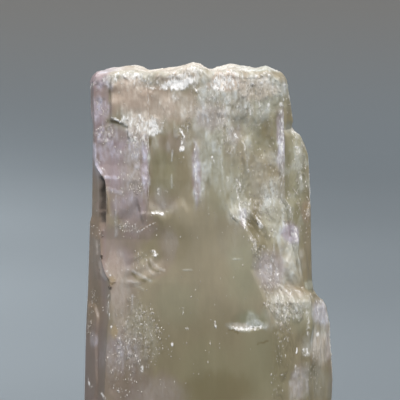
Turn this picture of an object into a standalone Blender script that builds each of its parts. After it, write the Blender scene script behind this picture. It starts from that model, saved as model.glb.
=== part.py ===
"""A stout, upright hiddenite crystal, cut off flat where it grew on its rock.

The crystal is one solid. Its long prism faces run up from the flat cut to a rough broken top.
+Z runs up the crystal, +X to the right of its broad front face, and the front faces -Y. The
origin is in the middle of the flat cut. Sizes are in millimetres and are scaled to metres when
the mesh is made.
"""

import math

import bmesh
import bpy
import numpy as np
from mathutils import Vector, geometry

MM = 0.001

# Driving dimensions, in millimetres
HEIGHT = 60.7
HALF_WIDTH = 12.3
HALF_DEPTH = 8.6
CROWN_MIDDLE = -2.3
CROWN_RADIUS = 0.7
TOP_DROP = 0.58
TOP_WAVES = 0.18
PLATE_RAISED = 0.55
COLUMN_RAISED = 0.3
WINDOW_SUNK = 0.4
RIB_RAISED = 0.22
FRONT_ROUGHNESS = 0.16
CROWN_LUMPS = 0.24
POCK_DEPTH = 0.2
TERRACE_DEPTH = 0.42
STRIP_LINE_RAISED = 0.3
STRIP_SUNK = 0.35
BLOCK_RAISED = 0.7
FLUTE_DEPTH = 0.09

# How finely the skin is drawn before it is thinned out, and the share of it that is kept
FRONT_SPACING = 0.24
BACK_SPACING = 0.42
ROW_SPACING = 0.36
CROWN_ROWS = 3
CAP_SPACING = 0.8
KEPT_SHARE = 0.1
BELOW_CUT = 1.5
SEED = 7

# The long edges between the prism faces, anticlockwise seen from above. Each is a list of
# (height, across, depth) points from the flat cut to the top, with depth growing to the back.
EDGES = {
    "front_left": [
        (0.0, -12.9, -7.6), (19.6, -12.8, -7.7), (28.3, -12.4, -7.9), (32.0, -11.95, -8.1),
        (34.1, -12.05, -8.1), (35.4, -12.7, -7.9), (36.9, -13.15, -7.7), (39.4, -13.3, -7.6),
        (41.2, -12.55, -7.9), (44.3, -12.3, -8.0), (46.8, -12.8, -7.9), (48.6, -13.9, -7.4),
        (60.0, -14.1, -7.2),
    ],
    "front_bend": [
        (0.0, 8.6, -8.5), (19.6, 8.2, -8.6), (28.9, 7.9, -8.6), (31.4, 7.0, -8.6),
        (33.8, 6.1, -8.6), (35.7, 5.15, -8.6), (38.8, 5.4, -8.6), (40.9, 4.5, -8.6),
        (42.2, 2.9, -8.6), (44.3, 2.2, -8.6), (48.6, 1.7, -8.5), (60.0, 1.1, -8.4),
    ],
    "pale_edge": [
        (0.0, 11.7, -6.5), (23.0, 11.5, -6.6), (31.6, 11.8, -6.4), (33.2, 11.7, -5.0),
        (36.4, 11.1, -4.9), (38.5, 10.5, -4.9), (43.1, 9.8, -4.9), (44.3, 9.0, -4.8),
        (55.8, 9.0, -4.8), (60.0, 8.8, -5.2),
    ],
    "right": [
        (0.0, 15.1, -0.6), (6.0, 15.15, -0.5), (12.0, 15.05, -0.5), (18.6, 14.8, -0.4),
        (21.1, 14.85, -0.4), (25.5, 14.75, -0.3), (28.7, 14.5, -0.2), (30.4, 14.3, 0.0),
        (31.3, 13.8, 0.2), (31.8, 13.15, 0.3), (33.7, 13.0, 0.4), (45.6, 12.75, 0.4),
        (49.4, 12.5, 0.4), (50.6, 12.1, 0.4), (51.9, 11.4, 0.4), (52.6, 10.3, 0.4),
        (53.6, 10.6, 0.4), (55.9, 10.3, 0.4), (60.0, 9.9, 0.4),
    ],
    "right_back": [
        (0.0, 14.9, 4.4), (28.0, 14.6, 4.6), (31.2, 12.7, 4.8), (50.0, 12.0, 4.8),
        (53.0, 10.4, 4.7), (60.0, 9.6, 4.6),
    ],
    "back_right": [
        (0.0, 11.4, 8.3), (28.0, 11.0, 8.5), (31.0, 10.0, 8.5), (50.0, 9.6, 8.5), (60.0, 8.0, 8.2),
    ],
    "back_bend": [
        (0.0, -5.8, 8.5), (24.0, -5.4, 8.5), (42.0, -6.1, 8.5), (60.0, -5.6, 8.4),
    ],
    "left_back": [
        (0.0, -13.7, 3.4), (30.0, -13.5, 3.2), (60.0, -13.2, 3.0),
    ],
    "left": [
        (0.0, -15.5, -2.0), (18.8, -15.4, -2.0), (27.6, -15.2, -2.0), (32.6, -14.95, -2.0),
        (41.1, -14.7, -2.0), (42.0, -14.45, -2.0), (53.2, -14.3, -2.0), (54.5, -14.55, -2.0),
        (60.0, -14.6, -2.0),
    ],
}
FACES = list(EDGES)
FINE_FACES = ("front_left", "front_bend", "pale_edge")

# The uneven line of the broken top: (across, height above or below its level) points
TOP_LINE = [
    (-14.6, -0.9), (-13.8, -0.4), (-12.4, -0.15), (-9.0, 0.1), (-7.3, -0.35), (-4.8, -0.2),
    (-3.3, 0.15), (-2.0, 0.5), (-1.0, 0.3), (0.3, -0.35), (1.8, -0.1), (2.9, 0.2), (4.0, 0.0),
    (6.2, -0.2), (7.3, 0.05), (8.3, -0.35), (9.3, -0.7), (10.0, -1.2),
]

# The raised plate on the upper left of the front: its left side, its lower edge as
# (across, height) points, and where it fades out to the right
PLATE_LEFT = -11.9
PLATE_LOWER = [
    (-12.0, 54.4), (-9.85, 53.3), (-9.75, 51.9), (-7.3, 51.7), (-5.6, 52.4), (-5.4, 53.6), (-2.0, 54.2),
]
PLATE_FADE = (-5.0, 1.0)

# The frosted column under the plate and the smooth sunk window beside it
COLUMN_SIDES = (-11.6, -7.35)
WINDOW_SIDES = (-7.35, -2.2)
COLUMN_HEIGHTS = (43.4, 52.0)

# Two thin ribs beside the window: middle across, half width, lower and upper height
RIBS = [(-1.25, 0.5, 44.2, 51.2), (0.1, 0.3, 46.5, 52.5)]

# The low ledge under the frosted column: its two ends across, its height and its rise
FLAKE_LEDGE = (-8.5, -5.4, 42.7, 0.16)

# A scooped chip low on the front: middle across, height of its curved sill, half width, scoop
# height, and how far the middle of the sill hangs below its ends
CHIP = (4.8, 28.9, 2.1, 2.4, 0.6)
CHIP_DEPTH = 0.7

# The groove that runs down the left face beside the front edge: across, lower and upper height
GROOVE = (-13.0, 41.3, 46.6)
GROOVE_DEPTH = 0.6

# Curved shell marks low on the left of the front: middle across, middle height, radii, spacing
SHELL_MIDDLE = (-10.8, 41.2)
SHELL_RADII = (3.9, 7.9)
SHELL_SPACING = 1.5
SHELL_DEPTH = 0.16

# Deep hollows and bumps of the etched bevel: distance from the front bend, height, half width,
# half height, rise
BEVEL_KNOBS = [
    (1.3, 41.0, 0.8, 1.7, -0.7),
    (0.7, 42.3, 0.9, 0.9, 0.5),
    (2.9, 41.2, 0.35, 1.8, 0.5),
    (3.4, 53.0, 1.6, 1.5, -0.35),
    (6.0, 51.6, 1.5, 2.4, -0.45),
    (3.2, 49.4, 0.35, 2.0, 0.35),
    (5.6, 35.6, 1.2, 1.6, 0.35),
]

# A knob on the right strip: across, height, half width, half height, rise
STRIP_KNOB = (10.9, 39.1, 0.6, 1.3, 0.45)

# Shield-shaped etch pits: face, place along it from 0 to 1, height, half width, half height, depth
PITS = [
    ("back_right", 0.24, 47.5, 1.9, 3.4, 0.5),
    ("back_right", 0.55, 50.5, 1.3, 2.4, 0.4),
    ("back_right", 0.76, 39.0, 2.2, 3.8, 0.55),
    ("back_right", 0.36, 31.0, 1.6, 2.8, 0.4),
    ("back_right", 0.66, 20.5, 2.1, 4.0, 0.5),
    ("back_right", 0.22, 12.0, 1.7, 3.0, 0.45),
    ("back_bend", 0.38, 51.0, 1.5, 2.8, 0.4),
    ("back_bend", 0.6, 28.0, 1.8, 3.6, 0.5),
    ("back_bend", 0.32, 11.0, 1.5, 2.8, 0.4),
    ("front_left", 0.62, 11.0, 1.4, 2.6, 0.3),
    ("front_left", 0.28, 7.5, 1.2, 2.2, 0.28),
    ("right", 0.5, 22.0, 1.1, 2.6, 0.35),
    ("right", 0.5, 43.0, 1.0, 2.4, 0.3),
    ("left_back", 0.5, 36.0, 1.1, 2.6, 0.3),
]

# Flat growth steps: face, lower and upper height, start and end along it from 0 to 1, rise
STEPS = [
    ("back_right", 17.0, 44.0, 0.12, 0.5, 0.4),
    ("back_right", 3.0, 28.0, 0.55, 0.9, 0.3),
    ("back_bend", 34.0, 56.0, 0.3, 0.8, 0.35),
    ("back_bend", 6.0, 22.0, 0.1, 0.55, 0.3),
    ("left", 8.0, 30.0, 0.15, 0.6, 0.25),
    ("front_left", 3.0, 14.0, 0.45, 0.85, 0.2),
]


def smooth(low, high, value):
    """Rises from 0 to 1 as the value passes from low to high, also where low is the larger."""
    share = np.clip((value - low) / (high - low), 0.0, 1.0)
    return share * share * (3.0 - 2.0 * share)


def between(low, high, value, soft):
    """1 between low and high, with edges that are soft wide."""
    return smooth(low - soft, low + soft, value) * smooth(high + soft, high - soft, value)


def noise(u, v, seed):
    """A smooth random height from -1 to 1 over unit cells."""
    cells = 128
    lattice = np.random.RandomState(seed).uniform(-1.0, 1.0, (cells, cells))
    u0, v0 = np.floor(u).astype(int), np.floor(v).astype(int)
    fu, fv = u - u0, v - v0
    fu, fv = fu * fu * (3.0 - 2.0 * fu), fv * fv * (3.0 - 2.0 * fv)
    u1, v1 = (u0 + 1) % cells, (v0 + 1) % cells
    u0, v0 = u0 % cells, v0 % cells
    lower = lattice[u0, v0] * (1.0 - fu) + lattice[u1, v0] * fu
    upper = lattice[u0, v1] * (1.0 - fu) + lattice[u1, v1] * fu
    return lower * (1.0 - fv) + upper * fv


def bump(u, v, middle_u, middle_v, half_u, half_v):
    """A flat-topped oval patch that is 1 inside and 0 outside."""
    return smooth(1.15, 0.75, np.hypot((u - middle_u) / half_u, (v - middle_v) / half_v))


def row_heights():
    """Heights of the rows of the skin, from below the flat cut to the rim of the top."""
    wall_top = HEIGHT - CROWN_RADIUS
    count = round((wall_top + BELOW_CUT) / ROW_SPACING)
    wall = np.linspace(-BELOW_CUT, wall_top, count + 1)
    turns = np.linspace(0.0, math.pi / 2, CROWN_ROWS + 1)[1:]
    return np.concatenate([wall, wall_top + CROWN_RADIUS * np.sin(turns)])


def edge_at(name, heights):
    """Across and depth of a long edge at each height."""
    points = np.array(EDGES[name])
    across = np.interp(heights, points[:, 0], points[:, 1])
    depth = np.interp(heights, points[:, 0], points[:, 2])
    return across, depth


def face_columns(name, heights):
    """Across, depth, the outward direction and the distance along one face, column by column."""
    ax, ay = edge_at(name, heights)
    bx, by = edge_at(FACES[(FACES.index(name) + 1) % len(FACES)], heights)
    length = np.hypot(bx - ax, by - ay)
    spacing = FRONT_SPACING if name in FINE_FACES else BACK_SPACING
    count = round(float(length.max()) / spacing)
    share = (np.arange(count) / count)[:, None]
    across = ax + (bx - ax) * share
    depth = ay + (by - ay) * share
    out_x = np.broadcast_to((by - ay) / length, across.shape)
    out_y = np.broadcast_to((ax - bx) / length, across.shape)
    return across, depth, out_x, out_y, share * length, np.broadcast_to(length, across.shape)


def plate_relief(x, z):
    """The raised plate with its sharp lower edge, the frosted column and the sunk window."""
    lower = np.interp(x, *np.array(PLATE_LOWER).T) + 0.25 * noise(x / 0.9, z * 0.0, SEED + 1)
    fade = smooth(PLATE_FADE[1], PLATE_FADE[0], x)
    plate = smooth(-0.15, 0.15, z - lower) * smooth(-0.15, 0.15, x - PLATE_LEFT) * fade
    ragged = 1.2 * noise(x / 0.8, z * 0.0, SEED + 2)
    rows = smooth(COLUMN_HEIGHTS[0] - 1.2, COLUMN_HEIGHTS[0] + 0.4, z + ragged)
    left, right = COLUMN_SIDES
    column = rows * smooth(left - 0.8, left + 0.8, x) * smooth(right + 0.12, right - 0.12, x)
    left, right = WINDOW_SIDES
    window = rows * smooth(left - 0.12, left + 0.12, x) * smooth(right + 0.8, right - 0.8, x)
    below = 1.0 - plate
    return PLATE_RAISED * plate + below * (COLUMN_RAISED * column - WINDOW_SUNK * window)


def rib_relief(x, z):
    """Thin ribs that run up beside the window."""
    total = np.zeros_like(z)
    for middle, half_width, low, high in RIBS:
        ridge = np.clip(1.0 - np.abs(x - middle) / half_width, 0.0, 1.0)
        total += RIB_RAISED * np.sqrt(ridge) * between(low, high, z, 0.8)
    return total


def flake_relief(x, z):
    """A low ledge that faces up and dies away downwards."""
    left, right, height, rise = FLAKE_LEDGE
    below = z - height
    return rise * between(left, right, x, 0.3) * smooth(0.12, -0.12, below) * smooth(-3.0, 0.0, below)


def chip_relief(x, z):
    """A scoop that deepens downwards to a sharp, curved sill."""
    middle, sill_ends, half_width, high, hang = CHIP
    sideways = np.sqrt(np.clip(1.0 - ((x - middle) / half_width) ** 2, 0.0, 1.0))
    sill = sill_ends - hang * sideways
    top = sill + 0.3 + high * sideways
    return -CHIP_DEPTH * smooth(sill - 0.1, sill + 0.15, z) * smooth(top, sill, z) * sideways


def shell_relief(x, z):
    """Curved ripples of a shell-like break."""
    radius = np.hypot(x - SHELL_MIDDLE[0], z - SHELL_MIDDLE[1])
    inner, outer = SHELL_RADII
    zone = between(inner, outer, radius, 0.5) * smooth(38.8, 37.0, z)
    zone = zone * smooth(-4.8, -6.2, x) * smooth(-10.9, -9.5, x)
    return SHELL_DEPTH * zone * np.sin(2.0 * math.pi * (radius - inner) / SHELL_SPACING)


def front_relief(x, z):
    """Everything that stands out of or sinks into the broad front face."""
    upper = smooth(40.0, 52.0, z)
    crown = smooth(53.5, 56.5, z)
    rough = FRONT_ROUGHNESS * smooth(50.0, 53.0, z) * noise(x / 1.3, z / 1.6, SEED + 3)
    lumps = CROWN_LUMPS * crown * noise(x / 1.9, z / 1.4, SEED + 4)
    streaks = (0.03 + 0.09 * upper) * noise(x / 0.7, z / 6.0, SEED + 5)
    cluster = smooth(-4.5, -8.0, x) * smooth(15.0, 22.0, z) * smooth(33.0, 29.0, z)
    pocks = -POCK_DEPTH * cluster * np.clip(noise(x / 0.7, z / 1.5, SEED + 6), 0.0, 1.0)
    large = plate_relief(x, z) + chip_relief(x, z) + shell_relief(x, z)
    return large + rib_relief(x, z) + flake_relief(x, z) + rough + lumps + streaks + pocks


def bevel_relief(u, z):
    """Ledges of the etched bevel, drawn out along the crystal beside the front bend."""
    wave = noise(u / 1.2, z / 6.5, SEED + 8) + 0.6 * noise(u / 0.7, z / 2.4, SEED + 9)
    ledges = np.floor(wave * 2.6) / 2.6
    rough = 0.3 * noise(u / 0.6, z / 1.1, SEED + 10)
    total = TERRACE_DEPTH * (ledges + rough) * smooth(0.0, 0.8, u)
    for middle_u, middle_z, half_u, half_z, rise in BEVEL_KNOBS:
        total += rise * bump(u, z, middle_u, middle_z, half_u, half_z)
    return total


def strip_relief(u, x, z):
    """The pale raised line, the strip behind it and its knob."""
    line = STRIP_LINE_RAISED * smooth(1.0, 0.2, u)
    hollow = -STRIP_SUNK * smooth(0.6, 1.2, u) * smooth(3.4, 2.2, u) * smooth(32.0, 35.0, z)
    across, height, half_width, half_height, rise = STRIP_KNOB
    knob = rise * bump(x, z, across, height, half_width, half_height)
    rough = 0.12 * noise(u / 0.7, z / 4.0, SEED + 11)
    return line + hollow + knob + rough


def shoulder_relief(x, z):
    """The block low on the right that stands out below its slanting ledge."""
    ledge = np.interp(x, [8.4, 11.4, 13.0, 15.2], [34.0, 32.9, 31.8, 30.9])
    ledge = ledge + 0.25 * noise(x / 0.9, z * 0.0, SEED + 12)
    block = smooth(8.0, 10.4, x) * smooth(0.25, -0.25, z - ledge) * smooth(6.0, 18.0, z)
    rough = 0.14 * noise(x / 1.0, z / 2.2, SEED + 13) * smooth(8.0, 10.4, x) * smooth(34.0, 32.0, z)
    return BLOCK_RAISED * block + rough


def groove_relief(x, z):
    """The groove beside the front left edge."""
    middle, low, high = GROOVE
    across = np.clip(1.0 - np.abs(x - middle) / 0.45, 0.0, 1.0)
    return -GROOVE_DEPTH * across * smooth(low - 1.0, low + 0.5, z) * smooth(high + 0.8, high - 0.5, z)


def pit_relief(name, u, length, z):
    """The etch pits of one face, pointed below and straight above."""
    total = np.zeros_like(z)
    for face, share, height, half_width, half_height, deep in PITS:
        if face == name:
            up = (z - height) / half_height
            wide = half_width * np.clip(0.55 + 0.45 * up, 0.05, 1.0)
            side = np.abs(u - share * length) / wide
            total -= deep * smooth(1.1, 0.5, side) * between(-0.95, 0.95, up, 0.12)
    return total


def step_relief(name, u, length, z):
    """The flat growth steps of one face."""
    total = np.zeros_like(z)
    ragged = 0.5 * noise(z / 2.4, z * 0.0, SEED + 14)
    for face, low, high, start, end, rise in STEPS:
        if face == name:
            ends = 1.6 * noise(u / 2.3, z * 0.0, SEED + 15)
            inside = between(start * length, end * length, u + ragged, 0.15)
            total += rise * inside * between(low, high, z + ends, 0.3)
    return total


def flutes(name, u, z):
    """Fine growth lines that run up every face."""
    seed = SEED + 20 + FACES.index(name)
    fine = noise(u / 0.55, z / 16.0, seed)
    broad = noise(u / 1.7, z / 24.0, seed + 20)
    return FLUTE_DEPTH * (0.5 * fine + broad)


def relief(name, x, u, length, z):
    """How far each point of a face stands out of the plain prism."""
    out = flutes(name, u, z) + pit_relief(name, u, length, z) + step_relief(name, u, length, z)
    if name == "front_left":
        out = out + front_relief(x, z)
    if name == "front_bend":
        out = out + bevel_relief(u, z)
    if name == "pale_edge":
        out = out + strip_relief(u, x, z)
    if name in ("front_bend", "pale_edge", "right"):
        out = out + shoulder_relief(x, z)
    if name == "left":
        out = out + groove_relief(x, z)
    return out


def top_height(x, y):
    """Height of the rough broken top."""
    line = np.interp(x, *np.array(TOP_LINE).T)
    broad = noise(x / 3.4 + 3.0, y / 2.6, SEED + 16)
    fine = noise(x / 1.2, y / 1.4 + 5.0, SEED + 17)
    return np.minimum(HEIGHT - TOP_DROP + line + TOP_WAVES * (broad + fine), HEIGHT)


def joined(parts):
    """The faces set side by side, each edge column taking the mean of the two that meet there."""
    rows = []
    for i, (x, y, out_x, out_y, out) in enumerate(parts):
        _, _, before_x, before_y, before_out = parts[i - 1]
        edge_x, edge_y = out_x[0] + before_x[-1], out_y[0] + before_y[-1]
        size = np.hypot(edge_x, edge_y)
        edge_out = (out[1] + before_out[-1]) / 2.0
        out_x = np.vstack([edge_x / size, out_x[1:]])
        out_y = np.vstack([edge_y / size, out_y[1:]])
        rows.append((x, y, out_x, out_y, np.vstack([edge_out, out[1:]])))
    return [np.vstack(columns) for columns in zip(*rows)]


def skin():
    """Points of the skin as (columns, rows, 3), in millimetres."""
    heights = row_heights()
    parts = []
    for name in FACES:
        x, y, out_x, out_y, u, length = face_columns(name, heights)
        z = np.broadcast_to(heights, x.shape)
        parts.append((x, y, out_x, out_y, relief(name, x, u, length, z)))
    x, y, out_x, out_y, out = joined(parts)
    climb = np.clip((heights - (HEIGHT - CROWN_RADIUS)) / CROWN_RADIUS, 0.0, 1.0)
    inset = CROWN_RADIUS * (1.0 - np.sqrt(1.0 - climb * climb))
    x = (x + out_x * out - CROWN_MIDDLE) * (1.0 - inset / HALF_WIDTH) + CROWN_MIDDLE
    y = (y + out_y * out) * (1.0 - inset / HALF_DEPTH)
    z = heights + (top_height(x, y) - HEIGHT) * smooth(HEIGHT - 5.0, HEIGHT, heights)
    return np.stack([x, y, z], axis=2)


def inside_points(rim):
    """Points spread over the top, clear of its rim."""
    spread = np.random.RandomState(SEED)
    low, high = rim.min(axis=0), rim.max(axis=0)
    ends = np.roll(rim, -1, axis=0)
    span = np.where(ends[:, 1] == rim[:, 1], 1.0, ends[:, 1] - rim[:, 1])
    found = []
    for across in np.arange(low[0], high[0], CAP_SPACING):
        for depth in np.arange(low[1], high[1], CAP_SPACING):
            place = np.array([across, depth]) + spread.uniform(-0.3, 0.3, 2) * CAP_SPACING
            crosses = (rim[:, 1] > place[1]) != (ends[:, 1] > place[1])
            where = rim[:, 0] + (place[1] - rim[:, 1]) / span * (ends[:, 0] - rim[:, 0])
            within = np.count_nonzero(crosses & (where > place[0])) % 2 == 1
            if within and np.hypot(*(rim - place).T).min() > 0.5 * CAP_SPACING:
                found.append(place)
    return found


def add_top(bm, ring):
    """Closes the top with a rough surface of small faces inside the rim."""
    rim = np.array([vert.co[:2] for vert in ring])
    inner = inside_points(rim)
    flat = [Vector(place) for place in list(rim) + inner]
    outline = [(i, (i + 1) % len(rim)) for i in range(len(rim))]
    _, _, triangles, sources, _, _ = geometry.delaunay_2d_cdt(flat, outline, [], 1, 1e-6)
    verts = list(ring)
    for x, y in inner:
        verts.append(bm.verts.new((x, y, float(top_height(np.array(x), np.array(y))))))
    for triangle in triangles:
        bm.faces.new([verts[sources[corner][0]] for corner in triangle])


def crystal_mesh():
    """The closed skin of the crystal, drawn a little below the flat cut."""
    points = skin()
    columns, rows = points.shape[:2]
    bm = bmesh.new()
    grid = [[bm.verts.new(points[c, r]) for r in range(rows)] for c in range(columns)]
    for c in range(columns):
        following = (c + 1) % columns
        for r in range(rows - 1):
            bm.faces.new((grid[c][r], grid[following][r], grid[following][r + 1], grid[c][r + 1]))
    bm.faces.new([grid[c][0] for c in reversed(range(columns))])
    add_top(bm, [grid[c][rows - 1] for c in range(columns)])
    bmesh.ops.recalc_face_normals(bm, faces=bm.faces)
    bmesh.ops.scale(bm, vec=(MM, MM, MM), verts=bm.verts)
    mesh = bpy.data.meshes.new("crystal")
    bm.to_mesh(mesh)
    bm.free()
    return mesh


def cut_block():
    """The guide block whose top is the plane of the flat cut."""
    bpy.ops.mesh.primitive_cube_add(size=1.0)
    block = bpy.context.active_object
    block.name = "cut_block"
    block.scale = (60.0 * MM, 40.0 * MM, 10.0 * MM)
    block.location = (0.0, 0.0, -5.0 * MM)
    block.hide_render = True
    block.display_type = "WIRE"
    return block


def crystal_material():
    """Cloudy grey-green spodumene."""
    material = bpy.data.materials.new("cloudy_green_spodumene")
    material.use_nodes = True
    shader = material.node_tree.nodes["Principled BSDF"]
    shader.inputs["Base Color"].default_value = (0.30, 0.27, 0.19, 1.0)
    shader.inputs["Roughness"].default_value = 0.35
    shader.inputs["Metallic"].default_value = 0.0
    shader.inputs["IOR"].default_value = 1.66
    material.diffuse_color = (0.30, 0.27, 0.19, 1.0)
    return material


def main():
    for obj in list(bpy.data.objects):
        bpy.data.objects.remove(obj, do_unlink=True)
    crystal = bpy.data.objects.new("crystal", crystal_mesh())
    crystal.data.materials.append(crystal_material())
    bpy.context.scene.collection.objects.link(crystal)
    thin_out = crystal.modifiers.new("thin_out", "DECIMATE")
    thin_out.ratio = KEPT_SHARE
    flat_cut = crystal.modifiers.new("flat_cut", "BOOLEAN")
    flat_cut.operation = "DIFFERENCE"
    flat_cut.object = cut_block()


main()
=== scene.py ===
"""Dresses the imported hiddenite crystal: its fine etched skin, the etch chips strewn on it and a
plain studio stage.

Sizes in the tables are in millimetres. Marks on the front are placed by where they show on the
plane of the broad front face, as (across, height), seen from the camera.
"""

import math

import bmesh
import bpy
import numpy as np
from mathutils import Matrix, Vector, geometry


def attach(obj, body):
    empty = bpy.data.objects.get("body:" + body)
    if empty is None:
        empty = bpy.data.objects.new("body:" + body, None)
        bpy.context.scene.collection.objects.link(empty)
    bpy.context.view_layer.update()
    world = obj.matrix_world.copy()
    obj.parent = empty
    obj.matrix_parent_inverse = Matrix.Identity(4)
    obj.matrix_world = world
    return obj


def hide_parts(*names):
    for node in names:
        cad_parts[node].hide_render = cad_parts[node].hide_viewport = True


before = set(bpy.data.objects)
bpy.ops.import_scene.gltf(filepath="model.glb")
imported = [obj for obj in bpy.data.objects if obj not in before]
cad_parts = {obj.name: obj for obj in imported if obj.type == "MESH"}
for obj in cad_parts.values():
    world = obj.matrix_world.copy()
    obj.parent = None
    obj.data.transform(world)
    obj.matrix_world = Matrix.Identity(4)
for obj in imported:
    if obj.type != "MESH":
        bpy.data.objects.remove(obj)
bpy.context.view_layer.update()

bl_info = {
    "name": "Hiddenite crystal dressing",
    "version": (1, 0, 0),
    "blender": (4, 5, 0),
    "location": "View3D > Sidebar > Crystal",
    "description": "Builds the fine skin of the crystal, its etch chips and the studio stage",
    "category": "Object",
}

MM = 0.001

# The solid that the skin follows, in millimetres
HEIGHT = 60.7
HALF_WIDTH = 12.3
HALF_DEPTH = 8.6
CROWN_MIDDLE = -2.3
CROWN_RADIUS = 0.7
TOP_DROP = 0.58
TOP_WAVES = 0.18
FRONT_PLANE = -8.3

# How far down from the top its uneven line and its grains reach into the walls
TOP_BLEND = 5.0
GRAIN_BLEND = 1.0

# Where every random pattern starts, and after how many cells it repeats
SEED = 7
LATTICE = 128

# How finely the skin is drawn. The cap's jitter and clearance are shares of its spacing.
FRONT_SPACING = 0.15
BACK_SPACING = 0.52
SEEN_ROWS = 0.195
LOW_ROWS = 0.5
SEEN_FROM = 17.0
CROWN_ROWS = 5
CAP_SPACING = 0.45
CAP_JITTER = 0.3
CAP_CLEARANCE = 0.5
SHARP_ANGLE = 42.0

# The cells that the beads of the etching stand in
BEAD_WIDTH = 0.45
BEAD_HEIGHT = 0.7

# The long edges between the prism faces, anticlockwise seen from above. Each is a list of
# (height, across, depth) points from the flat cut to the top, with depth growing to the back.
EDGES = {
    "front_left": [
        (0.0, -12.9, -7.6), (19.6, -12.8, -7.7), (28.3, -12.4, -7.9), (32.0, -11.95, -8.1),
        (34.1, -12.05, -8.1), (35.4, -12.7, -7.9), (36.9, -13.15, -7.7), (39.4, -13.3, -7.6),
        (41.2, -12.55, -7.9), (44.3, -12.3, -8.0), (46.8, -12.8, -7.9), (48.6, -13.9, -7.4),
        (60.0, -14.1, -7.2),
    ],
    "front_bend": [
        (0.0, 8.6, -8.5), (19.6, 8.2, -8.6), (28.9, 7.9, -8.6), (31.4, 7.0, -8.6),
        (33.8, 6.1, -8.6), (35.7, 5.15, -8.6), (38.8, 5.4, -8.6), (40.9, 4.5, -8.6),
        (42.2, 2.9, -8.6), (44.3, 2.2, -8.6), (48.6, 1.7, -8.5), (60.0, 1.1, -8.4),
    ],
    "pale_edge": [
        (0.0, 11.7, -6.5), (23.0, 11.5, -6.6), (31.6, 11.8, -6.4), (33.2, 11.7, -5.0),
        (36.4, 11.1, -4.9), (38.5, 10.5, -4.9), (43.1, 9.8, -4.9), (44.3, 9.0, -4.8),
        (55.8, 9.0, -4.8), (60.0, 8.8, -5.2),
    ],
    "right": [
        (0.0, 15.1, -0.6), (6.0, 15.15, -0.5), (12.0, 15.05, -0.5), (18.6, 14.8, -0.4),
        (21.1, 14.85, -0.4), (25.5, 14.75, -0.3), (28.7, 14.5, -0.2), (30.4, 14.3, 0.0),
        (31.3, 13.8, 0.2), (31.8, 13.15, 0.3), (33.7, 13.0, 0.4), (45.6, 12.75, 0.4),
        (49.4, 12.5, 0.4), (50.6, 12.1, 0.4), (51.9, 11.4, 0.4), (52.6, 10.3, 0.4),
        (53.6, 10.6, 0.4), (55.9, 10.3, 0.4), (60.0, 9.9, 0.4),
    ],
    "right_back": [
        (0.0, 14.9, 4.4), (28.0, 14.6, 4.6), (31.2, 12.7, 4.8), (50.0, 12.0, 4.8),
        (53.0, 10.4, 4.7), (60.0, 9.6, 4.6),
    ],
    "back_right": [
        (0.0, 11.4, 8.3), (28.0, 11.0, 8.5), (31.0, 10.0, 8.5), (50.0, 9.6, 8.5), (60.0, 8.0, 8.2),
    ],
    "back_bend": [
        (0.0, -5.8, 8.5), (24.0, -5.4, 8.5), (42.0, -6.1, 8.5), (60.0, -5.6, 8.4),
    ],
    "left_back": [
        (0.0, -13.7, 3.4), (30.0, -13.5, 3.2), (60.0, -13.2, 3.0),
    ],
    "left": [
        (0.0, -15.5, -2.0), (18.8, -15.4, -2.0), (27.6, -15.2, -2.0), (32.6, -14.95, -2.0),
        (41.1, -14.7, -2.0), (42.0, -14.45, -2.0), (53.2, -14.3, -2.0), (54.5, -14.55, -2.0),
        (60.0, -14.6, -2.0),
    ],
}
FACES = list(EDGES)
SEEN_FACES = ("front_left", "front_bend", "pale_edge", "left")

# The uneven line of the broken top: (across, height above or below its level) points
TOP_LINE = [
    (-14.6, -0.9), (-13.8, -0.4), (-12.4, -0.15), (-9.0, 0.1), (-7.3, -0.35), (-4.8, -0.2),
    (-3.3, 0.15), (-2.0, 0.5), (-1.0, 0.3), (0.3, -0.35), (1.8, -0.1), (2.9, 0.2), (4.0, 0.0),
    (6.2, -0.2), (7.3, 0.05), (8.3, -0.35), (9.3, -0.7), (10.0, -1.2),
]

# The raised plate: its left side, its lower edge and where it fades out to the right
PLATE_LEFT = -11.9
PLATE_LOWER = [
    (-12.0, 54.4), (-9.85, 53.3), (-9.75, 51.9), (-7.3, 51.7), (-5.6, 52.4), (-5.4, 53.6), (-2.0, 54.2),
]
PLATE_FADE = (-9.9, -8.3)

# The sides of the frosted column and of the sunk window, and the height that both start at
COLUMN_SIDES = (-11.6, -7.35)
WINDOW_SIDES = (-7.35, -2.2)
COLUMN_FOOT = 43.4

# The ribs beside the window: across, half width, lower and upper height
RIBS = [(-1.25, 0.5, 44.2, 51.2), (0.1, 0.3, 46.5, 52.5)]
RIB_RISE = 0.22

# The low ledge: left and right end, height, rise
FLAKE_LEDGE = (-8.5, -5.4, 42.7, 0.16)

# The scoop: across, height of the ends of its sill, half width, height, and the sill's hang
SCOOP = (4.8, 28.9, 2.1, 2.4, 0.6)
SCOOP_DEPTH = 0.25

# The groove beside the front left edge: across, lower and upper height
GROOVE = (-13.0, 41.3, 46.6)
GROOVE_HALF_WIDTH = 0.45
GROOVE_DEPTH = 0.6

# The ripples of the shell-like break: their middle, and their least and greatest radius
SHELL_MIDDLE = (-10.8, 41.2)
SHELL_RADII = (3.9, 7.9)
SHELL_SPACING = 1.5
SHELL_DEPTH = 0.05

# The slanting ledge of the right shoulder, as (across, height) points
SHOULDER_LEDGE = [(8.4, 34.0), (11.4, 32.9), (13.0, 31.8), (15.2, 30.9)]

# How far a ledge wanders up and down, and over what distance
LEDGE_WANDER = 0.25
LEDGE_WAVE = 0.9

# How far small forms stand out or sink in: the front's roughness, lumps and pocks, the pale line,
# the hollow behind it, and the roughness of the strip and the shoulder
ROUGH_RISE = 0.1
LUMP_RISE = 0.16
POCK_DEPTH = 0.12
LINE_RISE = 0.3
HOLLOW_DEPTH = 0.35
STRIP_ROUGH_RISE = 0.12
SHOULDER_ROUGH_RISE = 0.14

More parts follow.
